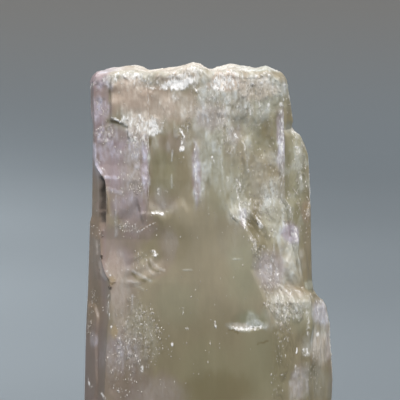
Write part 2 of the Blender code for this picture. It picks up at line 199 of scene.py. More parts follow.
# How many terraces a unit of the bevel's wave is cut into
TERRACES = 2.6

# Hollows and bumps of the etched bevel: distance from the front bend, height, half width,
# half height, rise
BEVEL_KNOBS = [
    (1.3, 41.0, 0.8, 1.7, -0.4),
    (0.7, 42.3, 0.9, 0.9, 0.35),
    (2.9, 41.2, 0.45, 1.8, 0.35),
    (3.4, 53.0, 1.6, 1.5, -0.35),
    (6.0, 51.6, 1.5, 2.4, -0.45),
    (3.2, 49.4, 0.35, 2.0, 0.35),
    (5.6, 35.6, 1.2, 1.6, 0.35),
]

# The knob of the strip: across, height, half width, half height, rise
STRIP_KNOB = (10.9, 39.1, 0.6, 1.3, 0.45)

# Shield-shaped etch pits: face, place along it from 0 to 1, height, half width, half height, depth
PITS = [
    ("back_right", 0.24, 47.5, 1.9, 3.4, 0.5),
    ("back_right", 0.55, 50.5, 1.3, 2.4, 0.4),
    ("back_right", 0.76, 39.0, 2.2, 3.8, 0.55),
    ("back_right", 0.36, 31.0, 1.6, 2.8, 0.4),
    ("back_right", 0.66, 20.5, 2.1, 4.0, 0.5),
    ("back_right", 0.22, 12.0, 1.7, 3.0, 0.45),
    ("back_bend", 0.38, 51.0, 1.5, 2.8, 0.4),
    ("back_bend", 0.6, 28.0, 1.8, 3.6, 0.5),
    ("back_bend", 0.32, 11.0, 1.5, 2.8, 0.4),
    ("front_left", 0.62, 11.0, 1.4, 2.6, 0.3),
    ("front_left", 0.28, 7.5, 1.2, 2.2, 0.28),
    ("right", 0.5, 22.0, 1.1, 2.6, 0.35),
    ("right", 0.5, 43.0, 1.0, 2.4, 0.3),
    ("left_back", 0.5, 36.0, 1.1, 2.6, 0.3),
]

# Flat growth steps: face, lower and upper height, start and end along it from 0 to 1, rise
STEPS = [
    ("back_right", 17.0, 44.0, 0.12, 0.5, 0.4),
    ("back_right", 3.0, 28.0, 0.55, 0.9, 0.3),
    ("back_bend", 34.0, 56.0, 0.3, 0.8, 0.35),
    ("back_bend", 6.0, 22.0, 0.1, 0.55, 0.3),
    ("left", 8.0, 30.0, 0.15, 0.6, 0.25),
    ("front_left", 3.0, 14.0, 0.45, 0.85, 0.2),
]

# How far the patterns of two hidden faces are set apart, so that no two show the same clouds
FACE_SHIFT = 40.0

# The heights between which the marks of the front give way downwards to those of hidden faces
LOW_FADE = (19.4, 16.0)

# Every patch below is: across, height, half width, half height, turn in degrees, strength, and how
# far upright fibres break it up. Every stroke is: its (across, height) points, half width,
# strength, and how far fibres break it up.

# The pale veil of shallow etching
HAZE_PATCHES = [
    (-2.3, 59.7, 12.2, 1.3, 0.0, 0.55, 0.1),
    (2.4, 54.6, 4.6, 4.0, 0.0, 0.3, 0.2),
    (9.3, 34.8, 2.1, 1.5, 0.0, 0.42, 0.3),
    (9.4, 31.2, 2.3, 1.6, 0.0, 0.4, 0.5),
    (-11.6, 25.4, 1.7, 2.8, 0.0, 0.3, 0.5),
    (-1.5, 47.6, 0.38, 3.9, 0.0, 0.85, 0.1),
    (8.9, 51.8, 0.5, 3.4, 0.0, 0.75, 0.2),
    (-12.9, 59.6, 1.1, 0.7, 0.0, 0.5, 0.3),
    (-13.0, 55.9, 0.9, 1.2, 0.0, 0.65, 0.5),
    (-12.5, 52.4, 1.4, 1.1, 0.0, 0.62, 0.4),
    (-12.9, 54.3, 1.2, 0.6, 0.0, 0.3, 0.2),
    (-9.0, 57.4, 2.9, 3.0, 0.0, 0.45, 0.1),
    (-6.2, 55.6, 1.8, 1.7, 0.0, 0.35, 0.1),
    (-3.9, 56.0, 2.3, 2.0, 0.0, 0.6, 0.25),
    (-8.1, 53.6, 2.6, 1.5, 0.0, 1.0, 0.0),
    (1.4, 58.4, 2.6, 1.9, 0.0, 0.85, 0.15),
    (6.8, 58.4, 3.1, 1.9, 0.0, 0.75, 0.25),
    (0.6, 53.4, 2.7, 3.2, 0.0, 0.38, 0.3),
    (3.6, 55.8, 1.8, 1.6, 0.0, 0.6, 0.4),
    (7.2, 56.0, 1.9, 1.1, 0.0, 0.35, 0.6),
    (9.3, 58.9, 0.7, 1.3, 0.0, 0.6, 0.1),
    (-9.8, 50.6, 1.8, 1.6, 0.0, 0.48, 0.25),
    (-9.7, 46.4, 1.7, 2.9, 0.0, 0.36, 0.4),
    (-7.7, 48.3, 0.42, 3.2, 0.0, 0.75, 0.1),
    (-12.0, 48.2, 1.6, 2.7, 0.0, 0.2, 0.3),
    (-10.0, 43.3, 1.9, 1.2, 0.0, 0.25, 0.3),
    (-5.8, 44.5, 0.6, 1.5, 0.0, 0.35, 0.4),
    (-4.9, 43.2, 1.5, 0.7, 0.0, 0.22, 0.3),
    (-9.7, 41.0, 1.4, 0.7, 0.0, 0.3, 0.5),
    (-0.6, 49.3, 0.75, 2.1, 0.0, 0.6, 0.2),
    (-1.1, 45.8, 0.65, 1.4, 0.0, 0.6, 0.3),
    (0.9, 48.8, 1.0, 1.8, 0.0, 0.4, 0.4),
    (3.2, 48.6, 1.5, 2.0, 0.0, 0.22, 0.5),
    (3.7, 46.0, 0.8, 1.5, 0.0, 0.4, 0.5),
    (3.7, 43.2, 1.5, 1.6, 0.0, 0.6, 0.3),
    (5.6, 46.8, 1.1, 2.4, 0.0, 0.3, 0.6),
    (7.8, 45.3, 1.5, 1.6, 0.0, 0.65, 0.3),
    (8.2, 42.3, 1.7, 2.3, 0.0, 0.55, 0.35),
    (8.0, 49.3, 0.7, 0.9, 0.0, 0.6, 0.4),
    (10.0, 40.0, 1.2, 1.4, 0.0, 0.75, 0.2),
    (10.1, 36.6, 1.4, 2.5, 0.0, 0.6, 0.15),
    (7.1, 36.6, 1.4, 1.7, 0.0, 0.55, 0.3),
    (7.6, 33.0, 1.2, 1.8, 0.0, 0.15, 0.4),
    (10.5, 32.0, 2.4, 1.2, -12.0, 0.28, 0.4),
    (13.7, 30.3, 1.4, 1.9, 0.0, 0.9, 0.05),
    (11.3, 30.6, 1.3, 1.3, 0.0, 0.45, 0.5),
    (8.2, 30.3, 1.4, 1.8, 0.0, 0.4, 0.6),
    (13.0, 26.2, 1.6, 1.9, 0.0, 0.82, 0.15),
    (13.2, 22.0, 1.2, 2.4, 0.0, 0.34, 0.5),
    (10.9, 21.6, 0.8, 2.3, -10.0, 0.5, 0.2),
    (11.3, 47.5, 0.9, 3.0, 0.0, 0.3, 0.7),
    (12.4, 33.9, 0.5, 0.5, 0.0, 0.5, 0.1),
    (-10.9, 31.4, 1.0, 2.9, 0.0, 0.4, 0.25),
    (-11.3, 36.2, 1.3, 2.0, 0.0, 0.35, 0.2),
    (-4.7, 38.8, 0.9, 1.8, 0.0, 0.15, 0.2),
    (3.4, 38.6, 2.6, 2.4, 0.0, 0.1, 0.1),
    (-7.0, 36.2, 1.4, 1.1, 0.0, 0.2, 0.3),
    (-9.0, 27.0, 2.6, 4.2, 0.0, 0.3, 0.6),
    (-6.2, 20.1, 3.4, 1.9, 0.0, 0.17, 0.1),
    (-13.9, 27.1, 0.35, 0.9, 0.0, 0.8, 0.3),
    # The next three rows are painted light: the glow on the hollow above the scoop's sill and the sill's
    # upper edge, which faces up
    (5.4, 29.8, 0.9, 0.9, 0.0, 0.5, 0.0),
    (5.5, 28.8, 1.7, 0.6, 0.0, 1.0, 0.0),
    (3.6, 28.6, 1.4, 0.4, -8.0, 0.8, 0.0),
]

# Its thin lines. The first five are the curved ridges of the shell-like break, pale as a painted highlight
# along their upper edges
HAZE_STROKES = [
    ([(-7.1, 37.0), (-6.7, 36.4), (-6.0, 35.9), (-5.4, 35.6)], 0.13, 0.45, 0.0),
    ([(-7.6, 36.3), (-7.3, 35.6), (-6.8, 35.2), (-6.0, 35.3)], 0.14, 0.34, 0.0),
    ([(-9.3, 35.6), (-8.4, 35.1), (-7.7, 34.7), (-7.0, 34.3)], 0.13, 0.42, 0.0),
    ([(-9.9, 34.3), (-9.0, 34.2), (-8.4, 34.0)], 0.11, 0.34, 0.0),
    ([(-9.0, 33.8), (-8.0, 33.3)], 0.1, 0.25, 0.0),
    ([(-14.0, 51.1), (-13.9, 49.5), (-13.5, 48.1), (-13.1, 47.6)], 0.2, 0.7, 0.0),
    ([(-12.6, 47.1), (-11.4, 47.0)], 0.2, 0.6, 0.1),
    ([(-12.3, 45.7), (-10.7, 45.2)], 0.24, 0.5, 0.1),
    ([(-13.3, 36.6), (-13.1, 35.3), (-12.5, 34.6)], 0.15, 0.5, 0.1),
    ([(-13.7, 39.3), (-13.6, 37.7)], 0.12, 0.5, 0.2),
    ([(-11.3, 44.9), (-11.3, 39.8)], 0.14, 0.4, 0.4),
    ([(-1.8, 51.7), (-1.2, 50.6)], 0.16, 0.5, 0.1),
    ([(10.6, 50.8), (10.9, 49.0)], 0.12, 0.5, 0.2),
    ([(11.8, 50.0), (12.1, 48.6)], 0.12, 0.5, 0.2),
    ([(12.3, 43.9), (12.2, 42.4)], 0.14, 0.6, 0.1),
    ([(3.1, 37.0), (4.1, 37.0)], 0.08, 0.5, 0.0),
    ([(-3.0, 35.7), (-2.1, 35.7)], 0.08, 0.4, 0.0),
    ([(-4.4, 50.4), (-4.5, 49.1)], 0.09, 0.5, 0.0),
    ([(-4.5, 47.4), (-4.5, 45.8)], 0.08, 0.4, 0.0),
    ([(-9.3, 32.5), (-9.3, 31.0)], 0.09, 0.5, 0.0),
]

# Deep white etching
FROST_PATCHES = [
    (-3.6, 58.7, 1.9, 0.8, 0.0, 1.0, 0.0),
    (-3.2, 58.8, 2.4, 1.2, 0.0, 0.35, 0.2),
    (-7.6, 53.4, 2.2, 1.2, 0.0, 0.26, 0.2),
    (-5.4, 58.3, 0.7, 0.35, 12.0, 0.9, 0.2),
    (-3.0, 60.2, 2.3, 0.6, 0.0, 0.72, 0.3),
    (-10.0, 60.2, 2.4, 0.25, 0.0, 0.6, 0.5),
    (-8.4, 53.9, 0.7, 0.8, 0.0, 0.5, 0.1),
    (-6.8, 53.3, 0.9, 1.1, 0.0, 0.6, 0.1),
    (-6.4, 52.7, 0.55, 0.7, 0.0, 0.8, 0.0),
    (-9.9, 53.9, 0.8, 0.8, 0.0, 0.5, 0.3),
    (-8.7, 52.0, 1.3, 0.75, 0.0, 0.72, 0.5),
    (-7.5, 50.9, 0.22, 0.5, 0.0, 0.8, 0.1),
    (-10.7, 50.4, 0.8, 0.45, 0.0, 0.5, 0.5),
    (-4.2, 56.9, 0.45, 0.6, 10.0, 0.6, 0.2),
    (-3.25, 50.6, 0.45, 0.42, 0.0, 0.85, 0.1),
    (-7.6, 59.2, 4.4, 0.7, 0.0, 0.3, 0.1),
    (1.9, 59.1, 1.5, 1.1, 0.0, 0.7, 0.1),
    (5.5, 59.6, 3.6, 0.9, 0.0, 0.4, 0.4),
    (-11.0, 60.0, 3.0, 0.6, 0.0, 0.4, 0.4),
    (4.6, 55.9, 1.4, 0.8, 0.0, 0.3, 0.5),
    (0.6, 57.6, 1.0, 1.4, -15.0, 0.4, 0.4),
    (3.0, 60.5, 0.8, 0.25, 0.0, 0.8, 0.3),
    (5.6, 60.3, 0.4, 0.2, 0.0, 0.8, 0.0),
    (7.3, 60.4, 0.45, 0.2, 0.0, 0.85, 0.0),
    (5.5, 59.2, 0.25, 0.2, 0.0, 0.7, 0.0),
    (6.5, 59.3, 0.28, 0.14, 0.0, 0.9, 0.0),
    (6.5, 58.6, 0.28, 0.14, 0.0, 0.8, 0.0),
    (5.3, 58.6, 0.18, 0.2, 0.0, 0.8, 0.0),
    (4.3, 57.9, 0.3, 0.18, 0.0, 0.8, 0.0),
    (5.8, 57.7, 0.2, 0.25, 0.0, 0.7, 0.0),
    (5.2, 57.1, 0.14, 0.22, 0.0, 0.8, 0.0),
    (0.3, 56.6, 0.3, 0.3, 0.0, 0.8, 0.3),
    (9.4, 59.2, 0.3, 0.7, 0.0, 0.5, 0.1),
    (4.35, 42.3, 0.4, 1.0, 15.0, 0.85, 0.1),
    (5.0, 43.9, 0.3, 0.35, 0.0, 0.6, 0.2),
    (9.7, 41.2, 0.5, 0.7, 0.0, 0.5, 0.3),
    (10.9, 40.7, 0.28, 0.32, 0.0, 0.85, 0.0),
    (10.6, 39.7, 0.3, 0.26, 0.0, 0.85, 0.0),
    (9.95, 39.0, 0.18, 0.22, 0.0, 0.85, 0.0),
    (6.9, 38.6, 0.28, 0.16, 0.0, 0.7, 0.0),
    (-6.65, 37.75, 0.36, 0.38, 0.0, 1.0, 0.0),
    (8.6, 35.15, 0.22, 0.22, 0.0, 1.0, 0.0),
    (7.7, 34.5, 0.16, 0.13, 0.0, 1.0, 0.0),
    (6.4, 35.6, 0.1, 0.2, 0.0, 0.9, 0.0),
    (9.8, 33.0, 0.5, 0.35, -35.0, 0.7, 0.0),
    (13.8, 31.6, 0.8, 0.3, -10.0, 0.45, 0.2),
    (14.5, 30.3, 0.25, 0.9, 0.0, 0.6, 0.1),
    (-2.6, 28.55, 0.3, 0.2, 0.0, 0.95, 0.0),
    (-2.55, 28.1, 0.12, 0.16, 0.0, 0.85, 0.0),
    (-4.4, 26.5, 0.25, 0.27, 0.0, 0.9, 0.0),
    (-8.1, 23.4, 0.26, 0.45, 0.0, 0.95, 0.0),
    (-8.2, 22.2, 0.14, 0.12, 0.0, 0.6, 0.0),
    (-9.3, 21.7, 0.12, 0.12, 0.0, 0.6, 0.0),
    (-9.2, 27.2, 0.14, 0.14, 0.0, 1.0, 0.0),
    (-11.9, 28.7, 0.16, 0.24, 0.0, 0.9, 0.0),
    (-6.2, 28.5, 0.2, 0.2, 0.0, 0.8, 0.0),
    (-7.3, 26.7, 0.15, 0.15, 0.0, 0.9, 0.0),
    (-8.9, 25.1, 0.5, 0.16, 0.0, 0.7, 0.4),
    (0.2, 25.5, 0.16, 0.2, 0.0, 0.7, 0.0),
    (5.15, 25.8, 0.2, 0.15, 0.0, 0.7, 0.0),
    (2.3, 27.8, 0.13, 0.13, 0.0, 0.65, 0.0),
    # The next two rows are a painted highlight on the upper edge of the scoop's sill
    (5.7, 28.65, 1.4, 0.3, 0.0, 0.75, 0.0),
    (3.5, 28.5, 1.1, 0.24, -8.0, 0.65, 0.0),
    (13.8, 30.4, 1.2, 1.6, 0.0, 0.35, 0.3),
    (10.6, 23.6, 0.25, 0.7, 0.0, 0.55, 0.2),
]
FROST_STROKES = [
    # A painted highlight along the plate's lower edge
    ([(-12.1, 54.5), (-11.2, 54.2), (-9.9, 53.5)], 0.13, 0.75, 0.1),
    ([(-8.8, 60.4), (-7.9, 59.7)], 0.19, 0.95, 0.0),
    ([(-7.5, 58.9), (-6.8, 58.4)], 0.16, 0.95, 0.0),
    ([(-14.2, 59.8), (-14.4, 59.0)], 0.13, 0.8, 0.0),
    ([(-13.5, 59.2), (-13.1, 58.8)], 0.12, 0.65, 0.3),
    ([(-6.0, 57.0), (-5.8, 55.9)], 0.12, 0.5, 0.2),
    ([(-2.1, 59.5), (-1.6, 58.2), (-1.2, 57.2), (-0.85, 56.5)], 0.15, 0.85, 0.4),
    ([(-3.5, 53.0), (-3.0, 52.1)], 0.14, 0.85, 0.0),
    ([(-2.5, 53.4), (-2.6, 52.7)], 0.1, 0.65, 0.0),
    ([(-3.1, 51.9), (-3.3, 50.9)], 0.12, 0.65, 0.0),
    ([(-1.6, 51.1), (-1.5, 46.8)], 0.15, 0.62, 0.1),
    ([(-1.5, 46.3), (-1.35, 44.6)], 0.12, 0.5, 0.3),
    ([(-0.5, 46.5), (-0.7, 45.0)], 0.12, 0.45, 0.4),
    ([(0.5, 49.6), (0.75, 48.9)], 0.12, 0.9, 0.0),
    ([(1.6, 49.3), (1.75, 47.5)], 0.15, 0.42, 0.1),
    ([(2.4, 47.2), (2.45, 46.6)], 0.1, 0.8, 0.0),
    ([(4.4, 51.2), (4.6, 49.5), (5.0, 47.6)], 0.16, 0.55, 0.2),
    ([(3.0, 53.1), (3.65, 51.9)], 0.19, 0.6, 0.1),
    ([(5.2, 55.4), (5.25, 54.9)], 0.12, 0.95, 0.0),
    ([(6.2, 56.3), (6.3, 55.8)], 0.1, 0.65, 0.0),
    ([(7.45, 56.1), (7.5, 55.4)], 0.1, 0.7, 0.0),
    ([(8.8, 56.3), (8.9, 55.9)], 0.12, 0.85, 0.0),
    ([(9.3, 56.9), (9.4, 56.6)], 0.12, 0.8, 0.0),
    ([(8.85, 55.3), (9.0, 53.8), (8.9, 52.0), (8.85, 50.2), (8.7, 49.0)], 0.22, 0.62, 0.3),
    ([(9.9, 57.5), (10.1, 56.4)], 0.12, 0.6, 0.0),
    ([(10.3, 52.9), (11.0, 52.0), (11.6, 51.3), (12.1, 50.6)], 0.25, 0.58, 0.35),
    ([(10.9, 50.8), (11.1, 50.2)], 0.17, 0.65, 0.0),
    ([(11.2, 48.2), (11.35, 46.9)], 0.14, 0.65, 0.0),
    ([(8.9, 47.9), (8.95, 46.0), (9.1, 44.3)], 0.2, 0.38, 0.2),
    ([(9.3, 44.2), (9.7, 43.4), (10.2, 42.3), (10.35, 41.0), (10.45, 39.4)], 0.14, 0.62, 0.1),
    ([(3.6, 45.7), (3.8, 44.5), (3.95, 43.6)], 0.13, 0.75, 0.1),
    ([(3.4, 47.0), (3.9, 46.3), (4.3, 45.1)], 0.12, 0.65, 0.5),
    ([(4.0, 43.1), (4.5, 42.3), (4.7, 41.6), (4.5, 41.1)], 0.19, 1.0, 0.0),
    ([(2.8, 42.6), (3.4, 42.1), (4.2, 41.8)], 0.13, 0.5, 0.1),
    ([(6.2, 43.6), (6.4, 42.7)], 0.12, 0.6, 0.1),
    ([(5.8, 42.2), (6.1, 42.0)], 0.14, 0.7, 0.0),
    ([(6.2, 41.7), (6.6, 40.9)], 0.14, 0.9, 0.0),
    ([(4.5, 40.8), (5.6, 39.9)], 0.16, 0.5, 0.2),
    ([(5.2, 39.6), (5.7, 39.0), (5.95, 38.3)], 0.16, 0.75, 0.1),
    ([(7.7, 37.5), (8.1, 36.4), (8.6, 35.6)], 0.08, 0.5, 0.0),
    ([(8.0, 41.3), (8.1, 37.5)], 0.1, 0.4, 0.3),
    ([(6.9, 34.6), (6.4, 33.6)], 0.18, 0.5, 0.2),
    ([(9.4, 33.4), (10.5, 33.2), (11.3, 33.0), (12.2, 32.4), (12.9, 31.7)], 0.15, 0.4, 0.1),
    # The next three rows are a painted highlight along the low ledge, which faces up
    ([(-6.8, 42.75), (-5.6, 42.6)], 0.15, 0.95, 0.0),
    ([(-8.1, 42.8), (-6.8, 42.8)], 0.08, 0.45, 0.2),
    ([(-5.6, 42.7), (-4.3, 43.1)], 0.08, 0.4, 0.2),
    ([(-8.6, 40.4), (-7.6, 41.0), (-6.4, 41.6)], 0.11, 0.65, 0.1),
    ([(-8.6, 40.2), (-8.6, 39.5)], 0.09, 0.4, 0.2),
    ([(-10.7, 35.7), (-9.6, 35.7)], 0.1, 0.45, 0.2),
    ([(-6.2, 45.7), (-6.1, 44.9)], 0.14, 0.6, 0.0),
    ([(-10.9, 41.3), (-10.8, 40.7)], 0.1, 0.6, 0.0),
    ([(-8.9, 41.3), (-8.9, 40.7)], 0.1, 0.55, 0.0),
    ([(-3.05, 31.0), (-3.05, 30.3)], 0.09, 0.5, 0.0),
    ([(0.9, 29.4), (0.9, 28.5)], 0.1, 0.6, 0.0),
    ([(12.8, 28.0), (12.75, 27.6)], 0.09, 0.8, 0.0),
    ([(10.7, 26.1), (10.65, 25.5)], 0.1, 0.9, 0.0),
    ([(11.5, 25.9), (11.5, 25.1)], 0.14, 0.6, 0.0),
    ([(9.3, 25.3), (9.3, 24.7)], 0.09, 0.45, 0.0),
    ([(-14.7, 22.4), (-14.2, 21.2)], 0.18, 0.6, 0.0),
    ([(-13.2, 20.5), (-12.6, 19.6)], 0.15, 0.55, 0.0),
    ([(-11.3, 20.7), (-10.7, 20.6), (-9.9, 20.9)], 0.11, 0.5, 0.2),
    ([(-12.2, 32.6), (-12.3, 30.6), (-12.0, 29.2)], 0.1, 0.5, 0.2),
    ([(-12.7, 36.6), (-12.5, 35.6), (-12.0, 35.0)], 0.14, 0.4, 0.1),
    ([(-13.7, 49.4), (-12.8, 47.9)], 0.13, 0.45, 0.1),
    ([(-11.9, 47.1), (-10.9, 47.0)], 0.12, 0.35, 0.1),
]

# The pink to lavender side
MAUVE_PATCHES = [
    (-13.4, 57.0, 1.5, 4.6, 0.0, 0.8, 0.1),
    (-11.2, 52.0, 1.4, 1.6, 0.0, 0.8, 0.1),
    (-8.7, 52.2, 1.6, 1.0, 0.0, 0.35, 0.2),
    (-12.2, 48.0, 1.9, 3.6, 0.0, 0.85, 0.1),
    (-9.4, 48.0, 2.0, 4.0, 0.0, 0.58, 0.1),
    (-7.7, 48.3, 0.5, 3.4, 0.0, 0.9, 0.0),
    (-9.6, 43.4, 2.4, 1.8, 0.0, 0.8, 0.2),
    (-8.0, 40.8, 2.0, 1.6, 0.0, 0.6, 0.2),
    (-11.0, 38.6, 2.6, 2.6, 0.0, 0.45, 0.2),
    (-10.6, 34.5, 2.0, 4.5, 0.0, 0.35, 0.2),
    (-11.0, 23.5, 3.2, 5.0, 0.0, 0.75, 0.2),
    (-6.4, 20.4, 3.4, 2.6, 0.0, 0.55, 0.1),
    (-4.7, 38.6, 1.2, 2.4, 0.0, 0.35, 0.1),
    (-4.4, 51.4, 1.4, 1.2, 0.0, 0.35, 0.1),
    (-5.4, 44.2, 1.6, 1.4, 0.0, 0.3, 0.2),
    (-1.5, 47.5, 0.5, 3.8, 0.0, 0.7, 0.0),
    (0.2, 54.6, 1.8, 1.6, 0.0, 0.3, 0.0),
    (3.4, 52.4, 0.8, 1.0, 0.0, 0.25, 0.0),
    (4.4, 42.2, 0.6, 1.2, 12.0, 0.7, 0.0),
    (8.9, 52.0, 0.5, 3.6, 0.0, 0.7, 0.0),
    (10.4, 40.4, 1.0, 1.3, 0.0, 0.8, 0.0),
    (7.4, 35.6, 1.8, 2.6, 0.0, 0.5, 0.1),
    (13.8, 30.6, 1.2, 1.6, 0.0, 0.5, 0.0),
    (10.9, 22.0, 0.9, 2.4, -10.0, 0.4, 0.0),
    (14.6, 25.0, 0.6, 4.0, 0.0, 0.5, 0.0),
]

# Tan and cream
TAN_PATCHES = [
    (-8.0, 53.6, 2.4, 1.2, 0.0, 0.6, 0.1),
    (-9.4, 57.4, 2.5, 2.8, 0.0, 0.95, 0.05),
    (-6.4, 56.3, 2.2, 2.6, 0.0, 0.75, 0.1),
    (-3.4, 55.8, 2.2, 2.0, 0.0, 0.5, 0.2),
    (-4.0, 59.8, 2.6, 0.8, 0.0, 0.6, 0.1),
    (2.2, 59.2, 1.9, 1.3, 0.0, 1.0, 0.1),
    (6.0, 58.4, 2.6, 1.8, 0.0, 0.55, 0.2),
    (-11.6, 36.0, 1.4, 2.4, 0.0, 0.6, 0.2),
    (-10.8, 30.8, 1.2, 3.2, 0.0, 0.4, 0.2),
    (-13.8, 36.0, 0.9, 9.0, 0.0, 0.3, 0.2),
    (12.2, 43.0, 0.6, 1.4, 0.0, 0.8, 0.1),
    (12.1, 38.0, 0.5, 3.4, 0.0, 0.2, 0.2),
    (10.1, 33.2, 1.4, 0.7, 0.0, 0.35, 0.0),
    (13.2, 25.6, 1.4, 2.2, 0.0, 0.6, 0.1),
    (3.9, 28.6, 1.2, 0.4, -6.0, 0.6, 0.0),
    (-7.4, 41.1, 1.3, 0.3, 25.0, 0.8, 0.0),
    (-6.6, 35.8, 1.6, 1.2, 0.0, 0.4, 0.0),
]

# Greener body; the first row is painted light on the hollow above the scoop's sill
GREEN_PATCHES = [
    (5.4, 29.6, 1.6, 1.2, 0.0, 1.0, 0.0),
    (7.6, 57.4, 2.6, 2.4, 0.0, 0.55, 0.1),
    (6.9, 52.8, 2.4, 2.8, 0.0, 0.5, 0.1),
    (0.4, 50.0, 1.5, 3.2, 0.0, 0.55, 0.1),
    (2.6, 45.6, 2.6, 3.4, 0.0, 0.5, 0.1),
    (-5.6, 47.6, 1.4, 3.0, 0.0, 0.5, 0.1),
    (10.9, 46.0, 1.3, 9.0, 0.0, 0.6, 0.1),
    (8.2, 41.6, 1.6, 3.0, 0.0, 0.4, 0.1),
    (4.6, 35.6, 2.2, 4.2, 0.0, 0.5, 0.0),
    (6.6, 24.0, 2.6, 4.6, 0.0, 0.6, 0.1),
    (0.0, 23.4, 3.6, 3.4, 0.0, 0.4, 0.0),
    (-3.6, 31.6, 2.6, 2.6, 0.0, 0.35, 0.0),
    (11.2, 29.6, 1.6, 1.8, 0.0, 0.5, 0.1),
    (12.4, 33.9, 0.6, 0.7, 0.0, 0.9, 0.0),
]

# Dark clear places, and painted shade: on the left face and the right edge, low on the front and under the
# plate's lower edge
DARK_AND_SHADE_PATCHES = [
    (-9.2, 46.5, 1.9, 4.0, 0.0, 0.28, 0.2),
    (-5.0, 39.2, 2.8, 3.0, 0.0, 0.34, 0.0),
    (-4.6, 47.6, 2.0, 3.6, 0.0, 0.32, 0.2),
    (7.6, 58.6, 2.6, 1.4, 0.0, 0.12, 0.3),
    (10.2, 33.4, 1.6, 0.5, -15.0, 0.35, 0.2),
    (-11.9, 53.0, 1.5, 0.3, 30.0, 0.5, 0.1),
    (-13.4, 57.2, 1.3, 1.3, 0.0, 0.25, 0.1),
    (-6.5, 47.8, 0.65, 3.0, 0.0, 0.4, 0.1),
    (-5.4, 52.1, 0.6, 1.1, 0.0, 0.6, 0.3),
    (-4.1, 52.3, 0.5, 0.9, 0.0, 0.5, 0.3),
    (-4.4, 47.6, 2.2, 3.0, 0.0, 0.15, 0.1),
    (-10.9, 52.5, 1.0, 1.0, 0.0, 0.3, 0.0),
    (-13.0, 50.9, 0.9, 0.4, 0.0, 0.3, 0.2),
    (3.6, 54.3, 0.8, 0.9, 0.0, 0.45, 0.0),
    (7.4, 53.3, 1.1, 1.7, 0.0, 0.5, 0.3),
    (10.0, 53.8, 0.5, 1.6, 0.0, 0.4, 0.3),
    (10.0, 48.0, 0.6, 3.6, 0.0, 0.35, 0.3),
    (5.8, 41.4, 0.7, 1.9, 18.0, 0.6, 0.1),
    (6.6, 39.3, 0.7, 1.4, 18.0, 0.45, 0.1),
    (11.0, 37.6, 0.25, 1.4, 0.0, 0.4, 0.0),
    (12.0, 27.9, 0.9, 1.2, 0.0, 0.6, 0.2),
    (8.9, 26.0, 1.6, 3.6, 0.0, 0.3, 0.3),
    (1.4, 20.8, 4.4, 2.4, 0.0, 0.5, 0.0),
    (1.0, 24.5, 7.0, 6.0, 0.0, 0.25, 0.0),
    (-6.8, 42.0, 1.3, 0.7, 0.0, 0.35, 0.1),
    (-8.6, 38.9, 1.6, 0.9, 0.0, 0.3, 0.2),
    (-14.4, 40.5, 1.2, 12.0, 0.0, 0.4, 0.1),
    (-13.6, 26.0, 1.4, 7.0, 0.0, 0.25, 0.2),
    (-9.0, 24.6, 2.6, 5.0, 0.0, 0.25, 0.4),
    (13.2, 22.4, 1.8, 3.4, 0.0, 0.35, 0.4),
    (11.9, 41.0, 1.1, 9.0, 0.0, 0.4, 0.3),
    (14.95, 24.6, 0.3, 3.9, 0.0, 0.85, 0.0),
]
# Painted shadow lines: under the plate and beside the column, in the troughs of the shell-like ripples, under
# the scoop's sill, and in cracks
SHADOW_STROKES = [
    ([(-12.0, 59.4), (-12.1, 56.2)], 0.15, 0.7, 0.2),
    ([(-12.3, 54.0), (-11.3, 53.9), (-9.8, 53.2)], 0.17, 0.9, 0.0),
    ([(-9.75, 53.1), (-9.8, 52.2), (-10.2, 51.4)], 0.1, 0.5, 0.1),
    ([(-7.15, 52.0), (-7.1, 51.2)], 0.2, 0.7, 0.0),
    ([(-7.2, 50.6), (-7.2, 45.2)], 0.12, 0.55, 0.1),
    ([(-7.3, 36.7), (-7.0, 35.9), (-6.2, 35.5)], 0.14, 0.75, 0.0),
    ([(-9.3, 35.3), (-8.8, 34.7), (-7.8, 34.3)], 0.14, 0.65, 0.0),
    ([(2.5, 28.35), (3.0, 28.3), (3.7, 27.95)], 0.11, 1.0, 0.0),
    ([(6.1, 26.6), (6.7, 26.7), (7.3, 26.9)], 0.08, 0.9, 0.0),
    ([(11.5, 23.3), (11.5, 19.6)], 0.11, 0.7, 0.2),
    ([(7.5, 37.6), (7.9, 36.6), (8.4, 35.8)], 0.08, 0.5, 0.0),
    ([(4.9, 42.4), (5.3, 41.6)], 0.12, 0.6, 0.0),
    ([(10.9, 22.7), (10.9, 22.1)], 0.18, 0.7, 0.0),
    ([(9.2, 43.0), (9.6, 41.2), (9.9, 39.5)], 0.13, 0.3, 0.2),
]

# Iron stain
IRON_STROKES = [
    ([(-13.1, 47.2), (-13.0, 46.6), (-13.05, 45.0), (-13.1, 43.3)], 0.22, 1.0, 0.2),
    ([(-13.1, 42.7), (-13.05, 41.8)], 0.22, 1.0, 0.1),
    ([(-12.5, 43.8), (-12.3, 42.6)], 0.1, 0.6, 0.3),
    ([(-13.0, 40.4), (-12.95, 39.8)], 0.09, 0.7, 0.1),
    ([(-13.1, 37.5), (-13.1, 37.1)], 0.13, 0.9, 0.0),
    ([(-12.3, 34.8), (-12.1, 34.3), (-11.8, 34.0), (-11.4, 34.2)], 0.11, 0.8, 0.3),
    ([(-12.1, 33.6), (-12.0, 33.5)], 0.14, 0.9, 0.0),
]
GOLD_PATCHES = [
    (-11.9, 34.4, 0.6, 0.5, 0.0, 0.5, 0.0),
    (-12.5, 43.6, 0.5, 2.6, 0.0, 0.35, 0.2),
    (-11.6, 28.0, 0.45, 0.8, 0.0, 0.6, 0.1),
    (10.15, 54.6, 0.35, 0.5, 0.0, 0.35, 0.1),
    (12.1, 43.5, 0.4, 0.3, 0.0, 0.4, 0.0),
    (7.6, 52.8, 0.7, 1.0, 0.0, 0.25, 0.2),
]

